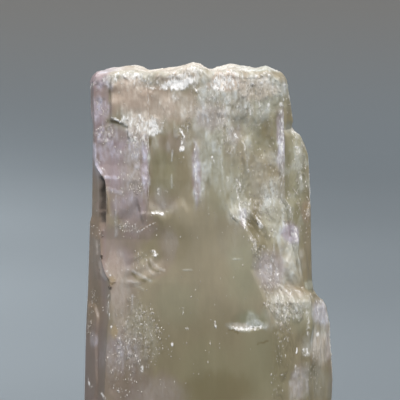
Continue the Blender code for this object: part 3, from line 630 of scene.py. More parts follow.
# Where small etch chips gather
CHIP_PATCHES = [
    (11.4, 44.0, 1.2, 6.0, 0.0, 0.35, 0.4),
    (3.6, 56.4, 6.0, 3.4, 0.0, 0.4, 0.3),
    (6.2, 50.0, 2.8, 4.0, 0.0, 0.3, 0.4),
    (7.6, 43.0, 2.2, 3.4, 0.0, 0.4, 0.4),
    (-7.4, 53.6, 2.2, 1.4, 0.0, 0.4, 0.3),
    (-9.6, 48.0, 1.6, 3.4, 0.0, 0.25, 0.4),
    (-8.4, 27.6, 2.6, 4.0, 0.0, 0.8, 0.5),
    (-10.8, 24.0, 1.6, 3.6, 0.0, 0.45, 0.5),
    (-12.8, 52.4, 1.1, 1.0, 0.0, 1.0, 0.2),
    (-13.2, 55.8, 0.8, 1.4, 0.0, 0.5, 0.3),
    (-13.0, 59.6, 1.4, 0.7, 0.0, 0.5, 0.2),
    (-10.2, 60.4, 2.4, 0.4, 0.0, 0.5, 0.2),
    (-8.8, 51.9, 1.7, 0.9, 0.0, 0.9, 0.2),
    (-8.6, 47.2, 0.9, 2.6, 0.0, 0.4, 0.3),
    (-7.6, 58.2, 1.6, 1.0, 0.0, 0.4, 0.2),
    (-9.8, 40.9, 1.6, 0.7, 0.0, 0.6, 0.3),
    (-8.4, 36.9, 1.1, 0.9, 0.0, 0.4, 0.2),
    (-2.6, 60.4, 2.4, 0.7, 0.0, 0.9, 0.1),
    (-1.4, 57.6, 0.6, 1.4, -15.0, 0.6, 0.1),
    (-3.2, 53.0, 1.2, 1.4, 0.0, 0.5, 0.2),
    (1.6, 55.8, 1.4, 1.2, 0.0, 0.6, 0.2),
    (4.6, 60.4, 4.0, 0.5, 0.0, 0.8, 0.2),
    (5.2, 58.2, 1.8, 1.2, 0.0, 0.6, 0.2),
    (1.7, 53.4, 0.8, 3.0, 0.0, 1.0, 0.3),
    (4.2, 55.6, 1.4, 1.0, 0.0, 0.5, 0.3),
    (2.6, 51.0, 0.6, 1.6, 0.0, 0.7, 0.2),
    (6.0, 55.6, 2.4, 1.0, 0.0, 0.35, 0.2),
    (3.9, 46.4, 0.8, 1.4, 0.0, 0.9, 0.1),
    (4.6, 43.6, 1.4, 1.4, 0.0, 0.6, 0.3),
    (6.6, 44.2, 1.4, 2.4, 0.0, 0.4, 0.3),
    (8.0, 46.6, 1.0, 1.8, 0.0, 0.4, 0.3),
    (5.8, 38.6, 0.8, 1.6, 20.0, 0.8, 0.2),
    (6.8, 36.6, 1.4, 1.6, 0.0, 0.5, 0.3),
    (8.0, 33.2, 1.0, 2.2, 0.0, 0.7, 0.3),
    (9.4, 31.0, 2.2, 1.6, 0.0, 1.0, 0.2),
    (9.0, 28.0, 1.0, 2.0, 0.0, 0.5, 0.4),
    (10.8, 48.6, 1.0, 4.0, 0.0, 0.3, 0.3),
    (11.6, 51.4, 0.7, 0.9, 30.0, 0.5, 0.1),
    (8.6, 22.4, 0.8, 3.6, 0.0, 0.35, 0.4),
    (12.4, 23.0, 1.0, 2.4, 0.0, 0.3, 0.4),
    (-14.3, 30.5, 0.5, 3.0, 0.0, 0.4, 0.3),
    (-5.2, 40.0, 9.0, 22.0, 0.0, 0.03, 0.0),
]

# The camera: what it looks at, how far off it stands, how high, its lens, and the range that it
# sees, in metres
TARGET = (-1.0, 0.0, 43.73)
CAMERA_DISTANCE = 450.0
CAMERA_ELEVATION = 4.0
LENS = 324.0
SENSOR = 36.0
CLIP_START = 0.01
CLIP_END = 10.0

# Spodumene: how it bends and absorbs light, how far its clear parts let light through, its
# roughness where clear and how much more where etched, its gloss, and the rise of its finest grain
IOR = 1.66
ABSORBED_COLOUR = (0.72, 0.68, 0.48, 1.0)
ABSORPTION = 60.0
CLEARNESS = 0.4
ROUGHNESS = 0.42
ETCHED_ROUGHNESS = 0.14
SPECULAR_LEVEL = 0.3
COAT = 0.08
COAT_ROUGHNESS = 0.2
GRAIN_STRENGTH = 0.7
GRAIN_RISE = 0.00016

# Grain of the materials: its scale, how far it is drawn out along the crystal, and its detail
STREAK_GRAIN = (420.0, 0.4, 4.0)
FIBRE_GRAIN = (2600.0, 0.5, 4.0)
SPECK_GRAIN = (4600.0, 0.28, 1.0)
BEAD_GRAIN = (3400.0, 0.55, 2.0)
CHIP_GRAIN = (1500.0, 1.0, 2.0)

# How far the random streaks darken what they cross, and how far painted shade darkens the gaps between the
# beads
STREAK_SHARE = 0.14
GAP_SHADE_SHARE = 0.4

# The fibres of the veil: how strongly the grain shows in them, and what is added to it
FIBRE_CONTRAST = 2.2
FIBRE_OFFSET = -0.1

# White etching: how far the grain moves its edge, and where that edge starts and ends
FROST_SWAY = 4.0
FROST_EDGE = (0.2, 0.95)

# White specks, fine white etching that also stands as painted glints off small facets: the grain
# that they start at, how far gathered chips lower it, how sharp the specks are and how strong
SPECK_LEVEL = 0.8
SPECK_DROP = 0.26
SPECK_SHARPNESS = 10.0
SPECK_STRENGTH = 0.5

# The etch chips: their two colours, their roughness, the least and the most of the given length
# and width, and the directions that they lean between
CHIP_COLOURS = ((0.34, 0.3, 0.26), (0.62, 0.58, 0.53))
CHIP_ROUGHNESS = 0.45
CHIP_LENGTHS = (0.35, 1.4)
CHIP_WIDTHS = (0.5, 1.3)
CHIP_LEAN = ((-0.35, -0.35, 0.7), (0.35, 0.35, 1.0))

# The stage, in metres
FLOOR_RADIUS = 0.7
SWEEP_RADIUS = 0.45
WALL_HEIGHT = 0.6
SWEEP_STEPS = 16
STAGE_SIDES = 96
WALL_FROM = 0.07
PAPER_ROUGHNESS = 0.9

# The soft lights: name, width, height, place, and the point that each faces
LIGHT_AIM = (0.0, 0.0, 0.04)
SOFTBOXES = [
    ("key", 0.35, 0.35, (0.28, -0.75, 0.9), LIGHT_AIM),
    ("top", 0.8, 0.6, (0.0, 0.2, 1.4), (0.0, 0.2, 0.0)),
    ("side", 0.3, 0.4, (0.85, -0.1, 0.7), LIGHT_AIM),
    ("fill", 0.3, 0.4, (-0.85, -0.2, 0.5), LIGHT_AIM),
    ("back", 0.5, 0.5, (-0.35, 0.8, 0.95), LIGHT_AIM),
]

# Pools of light on the floor behind: across and depth
POOLS = [(-0.15, 0.24), (-0.15, 0.44), (-0.17, 0.64)]
POOL_HEIGHT = 1.2
POOL_ANGLE = 20.0
POOL_SOFTNESS = 0.05
ROOM_TINT = (0.95, 0.98, 1.0, 1.0)


class CrystalSizes(bpy.types.PropertyGroup):
    """Sizes of the skin's forms and of its chips."""

    plate_raised: bpy.props.FloatProperty(
        name="Plate", description="How far the top plate stands out", default=0.00055, unit="LENGTH"
    )
    column_raised: bpy.props.FloatProperty(
        name="Column", description="How far the frosted column stands out", default=0.0003, unit="LENGTH"
    )
    window_sunk: bpy.props.FloatProperty(
        name="Window", description="How deep the smooth window is sunk", default=0.0003, unit="LENGTH"
    )
    terrace_depth: bpy.props.FloatProperty(
        name="Terraces", description="Depth of the ledges of the etched bevel", default=0.00022, unit="LENGTH"
    )
    block_raised: bpy.props.FloatProperty(
        name="Shoulder", description="How far the shoulder block stands out", default=0.0007, unit="LENGTH"
    )
    flute_depth: bpy.props.FloatProperty(
        name="Growth lines", description="Depth of the growth lines", default=0.00004, unit="LENGTH"
    )
    etch_relief: bpy.props.FloatProperty(
        name="Etching", description="Roughness of the etched patches", default=0.00006, unit="LENGTH"
    )
    bead_rise: bpy.props.FloatProperty(
        name="Etch beads", description="How far the etching's beads stand out", default=0.00009, unit="LENGTH"
    )
    rim_beads: bpy.props.FloatProperty(
        name="Rim beads", description="Size of the grains on the broken top", default=0.00012, unit="LENGTH"
    )
    chip_length: bpy.props.FloatProperty(
        name="Chip length", description="Half length of an etch chip", default=0.00014, unit="LENGTH"
    )
    chip_width: bpy.props.FloatProperty(
        name="Chip width", description="Half width of an etch chip", default=0.000055, unit="LENGTH"
    )
    chip_density: bpy.props.FloatProperty(
        name="Chips per area", description="Chips per square metre where they are thickest", default=1.1e7
    )


class CrystalColours(bpy.types.PropertyGroup):
    """Colours of the crystal and its marks."""

    olive: bpy.props.FloatVectorProperty(
        name="Olive", description="Clear body", default=(0.43, 0.365, 0.248), subtype="COLOR"
    )
    green: bpy.props.FloatVectorProperty(
        name="Green", description="Greener body", default=(0.44, 0.435, 0.29), subtype="COLOR"
    )
    mauve: bpy.props.FloatVectorProperty(
        name="Mauve", description="Pink side", default=(0.42, 0.305, 0.325), subtype="COLOR"
    )
    tan: bpy.props.FloatVectorProperty(
        name="Tan", description="Tan body", default=(0.52, 0.38, 0.29), subtype="COLOR"
    )
    # Dark clear places, and also the colour of painted shade: low on the front, on the sides, under ledges
    # and in the gaps between the beads
    deep: bpy.props.FloatVectorProperty(
        name="Deep", description="Dark clear places", default=(0.19, 0.15, 0.062), subtype="COLOR"
    )
    veil: bpy.props.FloatVectorProperty(
        name="Veil", description="Shallow etching", default=(0.54, 0.555, 0.54), subtype="COLOR"
    )
    lavender: bpy.props.FloatVectorProperty(
        name="Lavender", description="Shallow etching on pink", default=(0.52, 0.505, 0.62), subtype="COLOR"
    )
    cream: bpy.props.FloatVectorProperty(
        name="Cream", description="Shallow etching on tan", default=(0.69, 0.6, 0.51), subtype="COLOR"
    )
    frost: bpy.props.FloatVectorProperty(
        name="Frost", description="Deep white etching", default=(0.84, 0.82, 0.8), subtype="COLOR"
    )
    gold: bpy.props.FloatVectorProperty(
        name="Gold", description="Light iron stain", default=(0.5, 0.36, 0.15), subtype="COLOR"
    )
    iron: bpy.props.FloatVectorProperty(
        name="Iron", description="Dark iron stain", default=(0.035, 0.022, 0.012), subtype="COLOR"
    )


class StageSettings(bpy.types.PropertyGroup):
    """Colours and strengths of the stage."""

    floor: bpy.props.FloatVectorProperty(
        name="Floor", description="Pale floor", default=(0.119, 0.139, 0.154), subtype="COLOR"
    )
    wall: bpy.props.FloatVectorProperty(
        name="Wall", description="Grey backdrop", default=(0.127, 0.123, 0.116), subtype="COLOR"
    )
    fill_light: bpy.props.FloatProperty(name="Fill light", description="Left softbox in watts", default=4.2)
    key_light: bpy.props.FloatProperty(name="Key light", description="Front softbox in watts", default=16.0)
    top_light: bpy.props.FloatProperty(name="Top light", description="Upper softbox in watts", default=10.0)
    side_light: bpy.props.FloatProperty(name="Side light", description="Right softbox in watts", default=1.2)
    back_light: bpy.props.FloatProperty(name="Back light", description="Rear softbox in watts", default=4.0)
    pool_light: bpy.props.FloatProperty(
        name="Pool", description="Each spot on the floor behind in watts", default=46.0
    )
    room_light: bpy.props.FloatProperty(name="Room light", description="Even light of the room", default=0.3)


def smooth(low, high, value):
    """Rises from 0 to 1 as the value passes from low to high, also where low is the larger."""
    share = np.clip((value - low) / (high - low), 0.0, 1.0)
    return share * share * (3.0 - 2.0 * share)


def between(low, high, value, soft):
    """1 between low and high, with edges that are soft wide."""
    return smooth(low - soft, low + soft, value) * smooth(high + soft, high - soft, value)


def noise(u, v, seed):
    """A smooth random height from -1 to 1 over unit cells."""
    lattice = np.random.RandomState(seed).uniform(-1.0, 1.0, (LATTICE, LATTICE))
    u0, v0 = np.floor(u).astype(int), np.floor(v).astype(int)
    fu, fv = u - u0, v - v0
    fu, fv = fu * fu * (3.0 - 2.0 * fu), fv * fv * (3.0 - 2.0 * fv)
    u1, v1 = (u0 + 1) % LATTICE, (v0 + 1) % LATTICE
    u0, v0 = u0 % LATTICE, v0 % LATTICE
    lower = lattice[u0, v0] * (1.0 - fu) + lattice[u1, v0] * fu
    upper = lattice[u0, v1] * (1.0 - fu) + lattice[u1, v1] * fu
    return lower * (1.0 - fv) + upper * fv


def fibres(u, v, seed):
    """Upright streaks from 0 to 1."""
    broad = noise(u / 0.42, v / 3.2, seed)
    fine = noise(u / 0.2, v / 1.1, seed + 1)
    return smooth(-0.7, 0.7, 0.9 * broad + 0.6 * fine)


def cell_distances(u, v, seed):
    """Distance to the nearest and the next nearest of points strewn one to a unit cell."""
    strewn = np.random.RandomState(seed).uniform(0.0, 1.0, (LATTICE, LATTICE, 2))
    u0, v0 = np.floor(u).astype(int), np.floor(v).astype(int)
    nearest, following = np.full(u.shape, 9.0), np.full(u.shape, 9.0)
    for du in (-1, 0, 1):
        for dv in (-1, 0, 1):
            point = strewn[(u0 + du) % LATTICE, (v0 + dv) % LATTICE]
            away = np.hypot(u0 + du + point[..., 0] - u, v0 + dv + point[..., 1] - v)
            following = np.minimum(following, np.maximum(nearest, away))
            nearest = np.minimum(nearest, away)
    return nearest, following


def bump(u, v, middle_u, middle_v, half_u, half_v):
    """A soft oval patch that is 1 in the middle and 0 outside."""
    return smooth(1.35, 0.3, np.hypot((u - middle_u) / half_u, (v - middle_v) / half_v))


def row_heights():
    """Heights of the rows of the skin, from the flat cut to the rim of the top."""
    wall_top = HEIGHT - CROWN_RADIUS
    low = np.linspace(0.0, SEEN_FROM, round(SEEN_FROM / LOW_ROWS) + 1)
    seen = np.linspace(SEEN_FROM, wall_top, round((wall_top - SEEN_FROM) / SEEN_ROWS) + 1)[1:]
    turns = np.linspace(0.0, math.pi / 2, CROWN_ROWS + 1)[1:]
    return np.concatenate([low, seen, wall_top + CROWN_RADIUS * np.sin(turns)])


def edge_at(name, heights):
    """Across and depth of a long edge at each height."""
    points = np.array(EDGES[name])
    across = np.interp(heights, points[:, 0], points[:, 1])
    depth = np.interp(heights, points[:, 0], points[:, 2])
    return across, depth


def face_columns(name, heights):
    """Across, depth, the outward direction and the distance along one face, column by column."""
    ax, ay = edge_at(name, heights)
    bx, by = edge_at(FACES[(FACES.index(name) + 1) % len(FACES)], heights)
    length = np.hypot(bx - ax, by - ay)
    spacing = FRONT_SPACING if name in SEEN_FACES else BACK_SPACING
    count = round(float(length.max()) / spacing)
    share = (np.arange(count) / count)[:, None]
    across = ax + (bx - ax) * share
    depth = ay + (by - ay) * share
    out_x = np.broadcast_to((by - ay) / length, across.shape)
    out_y = np.broadcast_to((ax - bx) / length, across.shape)
    return across, depth, out_x, out_y, share * length, np.broadcast_to(length, across.shape)


def ledge_line(points, x, z, seed):
    """Height of a ledge along its points, wandering a little."""
    return np.interp(x, *np.array(points).T) + LEDGE_WANDER * noise(x / LEDGE_WAVE, z * 0.0, seed)


def plate_relief(sizes, x, z):
    """The raised plate with its sharp lower edge, the frosted column and the sunk window."""
    lower = ledge_line(PLATE_LOWER, x, z, SEED + 1)
    fade = smooth(PLATE_FADE[1], PLATE_FADE[0], x)
    plate = smooth(-0.15, 0.15, z - lower) * smooth(-0.15, 0.15, x - PLATE_LEFT) * fade
    ragged = 1.2 * noise(x / 0.8, z * 0.0, SEED + 2)
    rows = smooth(COLUMN_FOOT - 1.2, COLUMN_FOOT + 0.4, z + ragged)
    left, right = COLUMN_SIDES
    column = rows * smooth(left - 0.8, left + 0.8, x) * smooth(right + 0.12, right - 0.12, x)
    left, right = WINDOW_SIDES
    window = rows * smooth(left - 0.12, left + 0.12, x) * smooth(right + 0.8, right - 0.8, x)
    raised = sizes.column_raised * column - sizes.window_sunk * window
    return (sizes.plate_raised * plate + (1.0 - plate) * raised) / MM


def rib_relief(x, z):
    """Thin ribs that run up beside the window."""
    total = np.zeros_like(z)
    for middle, half_width, low, high in RIBS:
        ridge = np.clip(1.0 - np.abs(x - middle) / half_width, 0.0, 1.0)
        total += RIB_RISE * np.sqrt(ridge) * between(low, high, z, 0.8)
    return total


def flake_relief(x, z):
    """A low ledge that faces up and dies away downwards."""
    left, right, height, rise = FLAKE_LEDGE
    below = z - height
    return rise * between(left, right, x, 0.3) * smooth(0.12, -0.12, below) * smooth(-3.0, 0.0, below)


def scoop_relief(x, z):
    """A scoop that deepens downwards to a sharp, curved sill."""
    middle, sill_ends, half_width, high, hang = SCOOP
    sideways = np.sqrt(np.clip(1.0 - ((x - middle) / half_width) ** 2, 0.0, 1.0))
    sill = sill_ends - hang * sideways
    top = sill + 0.3 + high * sideways
    return -SCOOP_DEPTH * smooth(sill - 0.1, sill + 0.15, z) * smooth(top, sill, z) * sideways


def shell_relief(x, z):
    """Curved ripples of a shell-like break."""
    radius = np.hypot(x - SHELL_MIDDLE[0], z - SHELL_MIDDLE[1])
    inner, outer = SHELL_RADII
    zone = between(inner, outer, radius, 0.5) * smooth(38.8, 37.0, z)
    zone = zone * smooth(-4.8, -6.2, x) * smooth(-10.9, -9.5, x)
    return SHELL_DEPTH * zone * np.sin(2.0 * math.pi * (radius - inner) / SHELL_SPACING)


def front_relief(sizes, x, z):
    """Everything that stands out of or sinks into the broad front face."""
    upper = smooth(40.0, 52.0, z)
    crown = smooth(53.5, 56.5, z)
    rough = ROUGH_RISE * smooth(50.0, 53.0, z) * noise(x / 1.3, z / 1.6, SEED + 3)
    lumps = LUMP_RISE * crown * noise(x / 1.9, z / 1.4, SEED + 4)
    streaks = (0.01 + 0.05 * upper) * noise(x / 0.7, z / 6.0, SEED + 5)
    cluster = smooth(-4.5, -8.0, x) * smooth(15.0, 22.0, z) * smooth(33.0, 29.0, z)
    pocks = -POCK_DEPTH * cluster * np.clip(noise(x / 0.7, z / 1.5, SEED + 6), 0.0, 1.0)
    large = plate_relief(sizes, x, z) + scoop_relief(x, z) + shell_relief(x, z)
    return large + rib_relief(x, z) + flake_relief(x, z) + rough + lumps + streaks + pocks


def bevel_relief(sizes, u, z):
    """Ledges of the etched bevel, drawn out along the crystal beside the front bend."""
    wave = noise(u / 1.2, z / 6.5, SEED + 8) + 0.6 * noise(u / 0.7, z / 2.4, SEED + 9)
    ledges = np.floor(wave * TERRACES) / TERRACES
    rough = 0.3 * noise(u / 0.6, z / 1.1, SEED + 10)
    total = sizes.terrace_depth / MM * (ledges + rough) * smooth(0.0, 0.8, u)
    for middle_u, middle_z, half_u, half_z, rise in BEVEL_KNOBS:
        total += rise * bump(u, z, middle_u, middle_z, half_u, half_z)
    return total


def strip_relief(u, x, z):
    """The pale raised line, the strip behind it and its knob."""
    line = LINE_RISE * smooth(1.0, 0.2, u)
    hollow = -HOLLOW_DEPTH * smooth(0.6, 1.2, u) * smooth(3.4, 2.2, u) * smooth(32.0, 35.0, z)
    across, height, half_width, half_height, rise = STRIP_KNOB
    knob = rise * bump(x, z, across, height, half_width, half_height)
    rough = STRIP_ROUGH_RISE * noise(u / 0.7, z / 4.0, SEED + 11)
    return line + hollow + knob + rough


def shoulder_relief(sizes, x, z):
    """The block low on the right that stands out below its slanting ledge."""
    ledge = ledge_line(SHOULDER_LEDGE, x, z, SEED + 12)
    inside = smooth(8.0, 10.4, x)
    block = inside * smooth(0.25, -0.25, z - ledge) * smooth(6.0, 18.0, z)
    rough = SHOULDER_ROUGH_RISE * noise(x, z / 2.2, SEED + 13) * inside * smooth(34.0, 32.0, z)
    return sizes.block_raised / MM * block + rough


def groove_relief(x, z):
    """The groove beside the front left edge."""
    middle, low, high = GROOVE
    across = np.clip(1.0 - np.abs(x - middle) / GROOVE_HALF_WIDTH, 0.0, 1.0)
    return -GROOVE_DEPTH * across * smooth(low - 1.0, low + 0.5, z) * smooth(high + 0.8, high - 0.5, z)


def pit_relief(name, u, length, z):
    """The etch pits of one face, pointed below and straight above."""
    total = np.zeros_like(z)
    for face, share, height, half_width, half_height, deep in PITS:
        if face == name:
            up = (z - height) / half_height
            wide = half_width * np.clip(0.55 + 0.45 * up, 0.05, 1.0)
            side = np.abs(u - share * length) / wide
            total -= deep * smooth(1.1, 0.5, side) * between(-0.95, 0.95, up, 0.12)
    return total


def step_relief(name, u, length, z):
    """The flat growth steps of one face."""
    total = np.zeros_like(z)
    ragged = 0.5 * noise(z / 2.4, z * 0.0, SEED + 14)
    for face, low, high, start, end, rise in STEPS:
        if face == name:
            ends = 1.6 * noise(u / 2.3, z * 0.0, SEED + 15)
            inside = between(start * length, end * length, u + ragged, 0.15)
            total += rise * inside * between(low, high, z + ends, 0.3)
    return total


def flutes(sizes, name, u, z):
    """Fine growth lines that run up every face."""
    seed = SEED + 20 + FACES.index(name)
    fine = noise(u / 0.55, z / 16.0, seed)
    broad = noise(u / 1.7, z / 24.0, seed + 20)
    return sizes.flute_depth / MM * (0.5 * fine + broad)


def relief(sizes, name, x, u, length, z):
    """How far each point of a face stands out of the plain prism."""
    out = pit_relief(name, u, length, z) + step_relief(name, u, length, z)
    if name == "front_left":
        out = out + flutes(sizes, name, x, z) + front_relief(sizes, x, z)
    else:
        out = out + flutes(sizes, name, u, z)
    if name == "front_bend":
        out = out + bevel_relief(sizes, u, z)
    if name == "pale_edge":
        out = out + strip_relief(u, x, z)
    if name in ("front_bend", "pale_edge", "right"):
        out = out + shoulder_relief(sizes, x, z)
    if name == "left":
        out = out + groove_relief(x, z)
    return out


def etch_relief(sizes, name, u, z, marks):
    """Grains finer than the solid's: rough where the face is etched, beaded at the top rim."""
    seed = SEED + 160 + 2 * FACES.index(name)
    rough = noise(u / 0.3, z / 0.55, seed) + 0.6 * noise(u / 0.16, z / 0.3, seed + 1)
    etched = np.maximum(np.maximum(marks["frost"], 0.5 * marks["haze"]), marks["chips"])
    beads = np.abs(noise(u / 0.5, z / 0.5, seed + 30)) + 0.5 * noise(u / 0.22, z / 0.22, seed + 31)
    rough = sizes.etch_relief * rough * (0.05 + etched)
    return (rough + sizes.rim_beads * beads * smooth(58.0, 60.0, z)) / MM


def etch_beads(name, x, u, z):
    """Domed beads of the etching, 1 at their tops, and painted shade in the gaps between them."""
    if name not in SEEN_FACES:
        return np.zeros_like(x), np.zeros_like(x)
    along = x if name == "front_left" else u
    seed = SEED + 190 + FACES.index(name)
    nearest, following = cell_distances(along / BEAD_WIDTH, z / BEAD_HEIGHT, seed)
    fine = smooth(SEEN_FROM, SEEN_FROM + 1.5, z)
    return fine * smooth(0.8, 0.1, nearest), fine * smooth(0.3, 0.0, following - nearest)


def top_height(x, y):
    """Height of the rough broken top."""
    line = np.interp(x, *np.array(TOP_LINE).T)
    broad = noise(x / 3.4 + 3.0, y / 2.6, SEED + 16)
    fine = noise(x / 1.2, y / 1.4 + 5.0, SEED + 17)
    return np.minimum(HEIGHT - TOP_DROP + line + TOP_WAVES * (broad + fine), HEIGHT)


def top_grains(sizes, x, y):
    """Grains that stand on the broken top."""
    grains = np.abs(noise(x / 0.6, y / 0.6, SEED + 18)) + 0.5 * noise(x / 0.3, y / 0.3, SEED + 19)
    return sizes.rim_beads / MM * grains


def joined(parts):
    """The faces set side by side, each edge column taking the mean of the two that meet there."""
    rows = []
    for i, (x, y, out_x, out_y, out) in enumerate(parts):
        _, _, before_x, before_y, before_out = parts[i - 1]
        edge_x, edge_y = out_x[0] + before_x[-1], out_y[0] + before_y[-1]
        size = np.hypot(edge_x, edge_y)
        edge_out = (out[1] + before_out[-1]) / 2.0
        out_x = np.vstack([edge_x / size, out_x[1:]])
        out_y = np.vstack([edge_y / size, out_y[1:]])
        rows.append((x, y, out_x, out_y, np.vstack([edge_out, out[1:]])))
    return [np.vstack(columns) for columns in zip(*rows)]


def eye_place():
    """Where the camera stands, in millimetres."""
    turn = math.radians(CAMERA_ELEVATION)
    return (
        TARGET[0],
        TARGET[1] - CAMERA_DISTANCE * math.cos(turn),
        TARGET[2] + CAMERA_DISTANCE * math.sin(turn),
    )


def seen_place(x, y, z):
    """Where points show on the plane of the front face: across and height."""
    eye = eye_place()
    reach = (FRONT_PLANE - eye[1]) / (y - eye[1])
    return eye[0] + (x - eye[0]) * reach, eye[2] + (z - eye[2]) * reach


def patches(s, t, rows, seed, soft):
    """Many patches laid over each other, ragged at their edges and broken up by fibres."""
    bare = np.ones_like(s)
    shift_s = noise(s / 0.9, t / 1.5, seed) + 0.5 * noise(s / 0.35, t / 0.7, seed + 1)
    shift_t = noise(s / 0.7, t / 1.9, seed + 2) + 0.5 * noise(s / 0.3, t / 0.8, seed + 3)
    grain = fibres(s, t, seed + 4)
    for middle_s, middle_t, half_s, half_t, turn, strength, broken in rows:
        ragged = 0.42 * min(1.0, half_s, half_t * 1.5)
        ds, dt = s + ragged * shift_s - middle_s, t + ragged * shift_t - middle_t
        c, n = math.cos(math.radians(turn)), math.sin(math.radians(turn))
        distance = np.hypot((c * ds + n * dt) / half_s, (c * dt - n * ds) / half_t)
        inside = smooth(1.0 + soft, 1.0 - soft, distance)
        faint = min(1.0, 0.58 + 0.5 * min(half_s, half_t))
        bare *= 1.0 - faint * strength * inside * (1.0 - broken * (1.0 - grain))
    return 1.0 - bare


def strokes(s, t, rows, seed):
    """The strongest of many thin lines."""
    total = np.zeros_like(s)
    grain = fibres(s, t * 2.0, seed)
    wander = 0.06 * noise(s / 0.4, t / 0.5, seed + 2)
    for points, half_width, strength, broken in rows:
        nearest = np.full_like(s, 1e3)
        for (s0, t0), (s1, t1) in zip(points, points[1:]):
            run_s, run_t = s1 - s0, t1 - t0
            along = ((s - s0) * run_s + (t - t0) * run_t) / (run_s * run_s + run_t * run_t)
            along = np.clip(along, 0.0, 1.0)
            nearest = np.minimum(nearest, np.hypot(s - s0 - along * run_s, t - t0 - along * run_t))
        inside = smooth(1.9 * half_width, 0.4 * half_width, nearest + wander)
        total = np.maximum(total, strength * inside * (1.0 - broken * (1.0 - grain)))
    return total


def front_marks(s, t):
    """The strength of every kind of mark on the front, where it shows at (s, t)."""
    frost = patches(s, t, FROST_PATCHES, SEED + 50, 0.5)
    frost = np.maximum(frost, 0.85 * strokes(s, t, FROST_STROKES, SEED + 60))
    mauve = np.maximum(patches(s, t, MAUVE_PATCHES, SEED + 70, 0.4), 0.9 * smooth(-11.6, -13.2, s))
    deep = np.maximum(patches(s, t, DARK_AND_SHADE_PATCHES, SEED + 80, 0.4), strokes(s, t, SHADOW_STROKES, SEED + 90))
    wisps = smooth(0.0, 0.9, noise(s / 0.8, t / 2.2, SEED + 170) + 0.7 * noise(s / 0.3, t / 0.9, SEED + 171))
    window = between(WINDOW_SIDES[0], WINDOW_SIDES[1], s, 0.5) * smooth(51.5, 49.5, t)
    etched = smooth(40.0, 49.0, t + 0.9 * np.clip(s, 0.0, 12.0)) * (1.0 - 0.8 * window)
    haze = patches(s, t, HAZE_PATCHES, SEED + 40, 0.4) * (0.72 + 0.28 * wisps)
    haze = np.maximum(haze, strokes(s, t, HAZE_STROKES, SEED + 175))
    left_face = smooth(-12.5, -13.2, s) * between(29.0, 47.0, t, 1.5)
    return {
        "haze": 1.0 - (1.0 - haze) * (1.0 - 0.35 * wisps * etched),
        "frost": frost,
        "mauve": mauve,
        "tan": np.maximum(patches(s, t, TAN_PATCHES, SEED + 100, 0.3), 0.8 * left_face),
        "green": patches(s, t, GREEN_PATCHES, SEED + 110, 0.5),
        # deep is dark clear places and painted shade; below a height of 37 it darkens more towards the
        # bottom, painted shade of light that falls off downwards
        "deep": 1.0 - (1.0 - deep) * (1.0 - 0.4 * smooth(37.0, 20.0, t)),
        "gold": patches(s, t, GOLD_PATCHES, SEED + 120, 0.4),
        "iron": strokes(s, t, IRON_STROKES, SEED + 130),
        "chips": patches(s, t, CHIP_PATCHES, SEED + 140, 0.3),
    }


def hidden_marks(x, u, z):
    """The same kinds of marks where the front doesn't show them."""
    grain = fibres(u, z, SEED + 150)
    cloud = noise(u / 3.6, z / 9.0, SEED + 151) + 0.5 * noise(u / 1.4, z / 4.0, SEED + 152)
    crown = smooth(53.0, 60.5, z + 1.5 * cloud)
    shade = noise(u / 4.4, z / 12.0, SEED + 153)
    zero = np.zeros_like(x)
    return {
        "haze": np.maximum(0.75 * smooth(-0.1, 0.8, cloud) * (0.4 + 0.6 * grain), 0.55 * crown),
        "frost": np.maximum(0.7 * smooth(0.4, 1.0, cloud) * grain, 0.4 * crown * grain),
        "mauve": 0.8 * smooth(-5.0, -12.0, x + 1.5 * shade),
        "tan": 0.5 * smooth(0.3, 0.9, noise(u / 3.0, z / 5.0, SEED + 154)) * smooth(48.0, 56.0, z),
        "green": 0.5 * smooth(0.0, 0.8, shade) * smooth(-6.0, 4.0, x),
        "deep": 0.45 * smooth(0.1, 0.8, -shade),
        "gold": zero,
        "iron": zero,
        "chips": 0.5 * smooth(0.3, 0.9, cloud) * grain,
    }


def face_marks(name, x, y, z, u):
    """The marks of one face, the chips kept clear of the flat cut."""
    found = hidden_marks(x, u + FACE_SHIFT * FACES.index(name), z)
    if name in SEEN_FACES:
        s, t = seen_place(x, y, z)
        low = smooth(*LOW_FADE, t)
        shown = front_marks(s, t)
        found = {kind: shown[kind] * (1.0 - low) + found[kind] * low for kind in found}
    found["chips"] = found["chips"] * smooth(0.4, 1.0, z)
    return found


def skin(sizes):
    """Points of the skin as (columns, rows, 3), in millimetres, and the marks on them."""
    heights = row_heights()
    parts, marks = [], []
    for name in FACES:
        x, y, out_x, out_y, u, length = face_columns(name, heights)
        z = np.broadcast_to(heights, x.shape)
        found = face_marks(name, x, y, z, u)
        beads, gaps = etch_beads(name, x, u, z)
        found["gaps"] = found["chips"] * gaps
        out = relief(sizes, name, x, u, length, z) + etch_relief(sizes, name, u, z, found)
        out = out + sizes.bead_rise / MM * found["chips"] * beads
        parts.append((x, y, out_x, out_y, out))
        marks.append(found)
    x, y, out_x, out_y, out = joined(parts)
    climb = np.clip((heights - (HEIGHT - CROWN_RADIUS)) / CROWN_RADIUS, 0.0, 1.0)
    inset = CROWN_RADIUS * (1.0 - np.sqrt(1.0 - climb * climb))
    x = (x + out_x * out - CROWN_MIDDLE) * (1.0 - inset / HALF_WIDTH) + CROWN_MIDDLE
    y = (y + out_y * out) * (1.0 - inset / HALF_DEPTH)
    z = heights + (top_height(x, y) - HEIGHT) * smooth(HEIGHT - TOP_BLEND, HEIGHT, heights)
    z = z + top_grains(sizes, x, y) * smooth(HEIGHT - GRAIN_BLEND, HEIGHT, heights)
    marks = {kind: np.vstack([found[kind] for found in marks]) for kind in marks[0]}
    across_step = np.abs(out - np.roll(out, 1, axis=0)) + np.abs(np.roll(out, -1, axis=0) - out)
    marks["frost"] = np.maximum(marks["frost"], 0.5 * smooth(0.25, 0.6, across_step))
    return np.stack([x, y, z], axis=2), marks


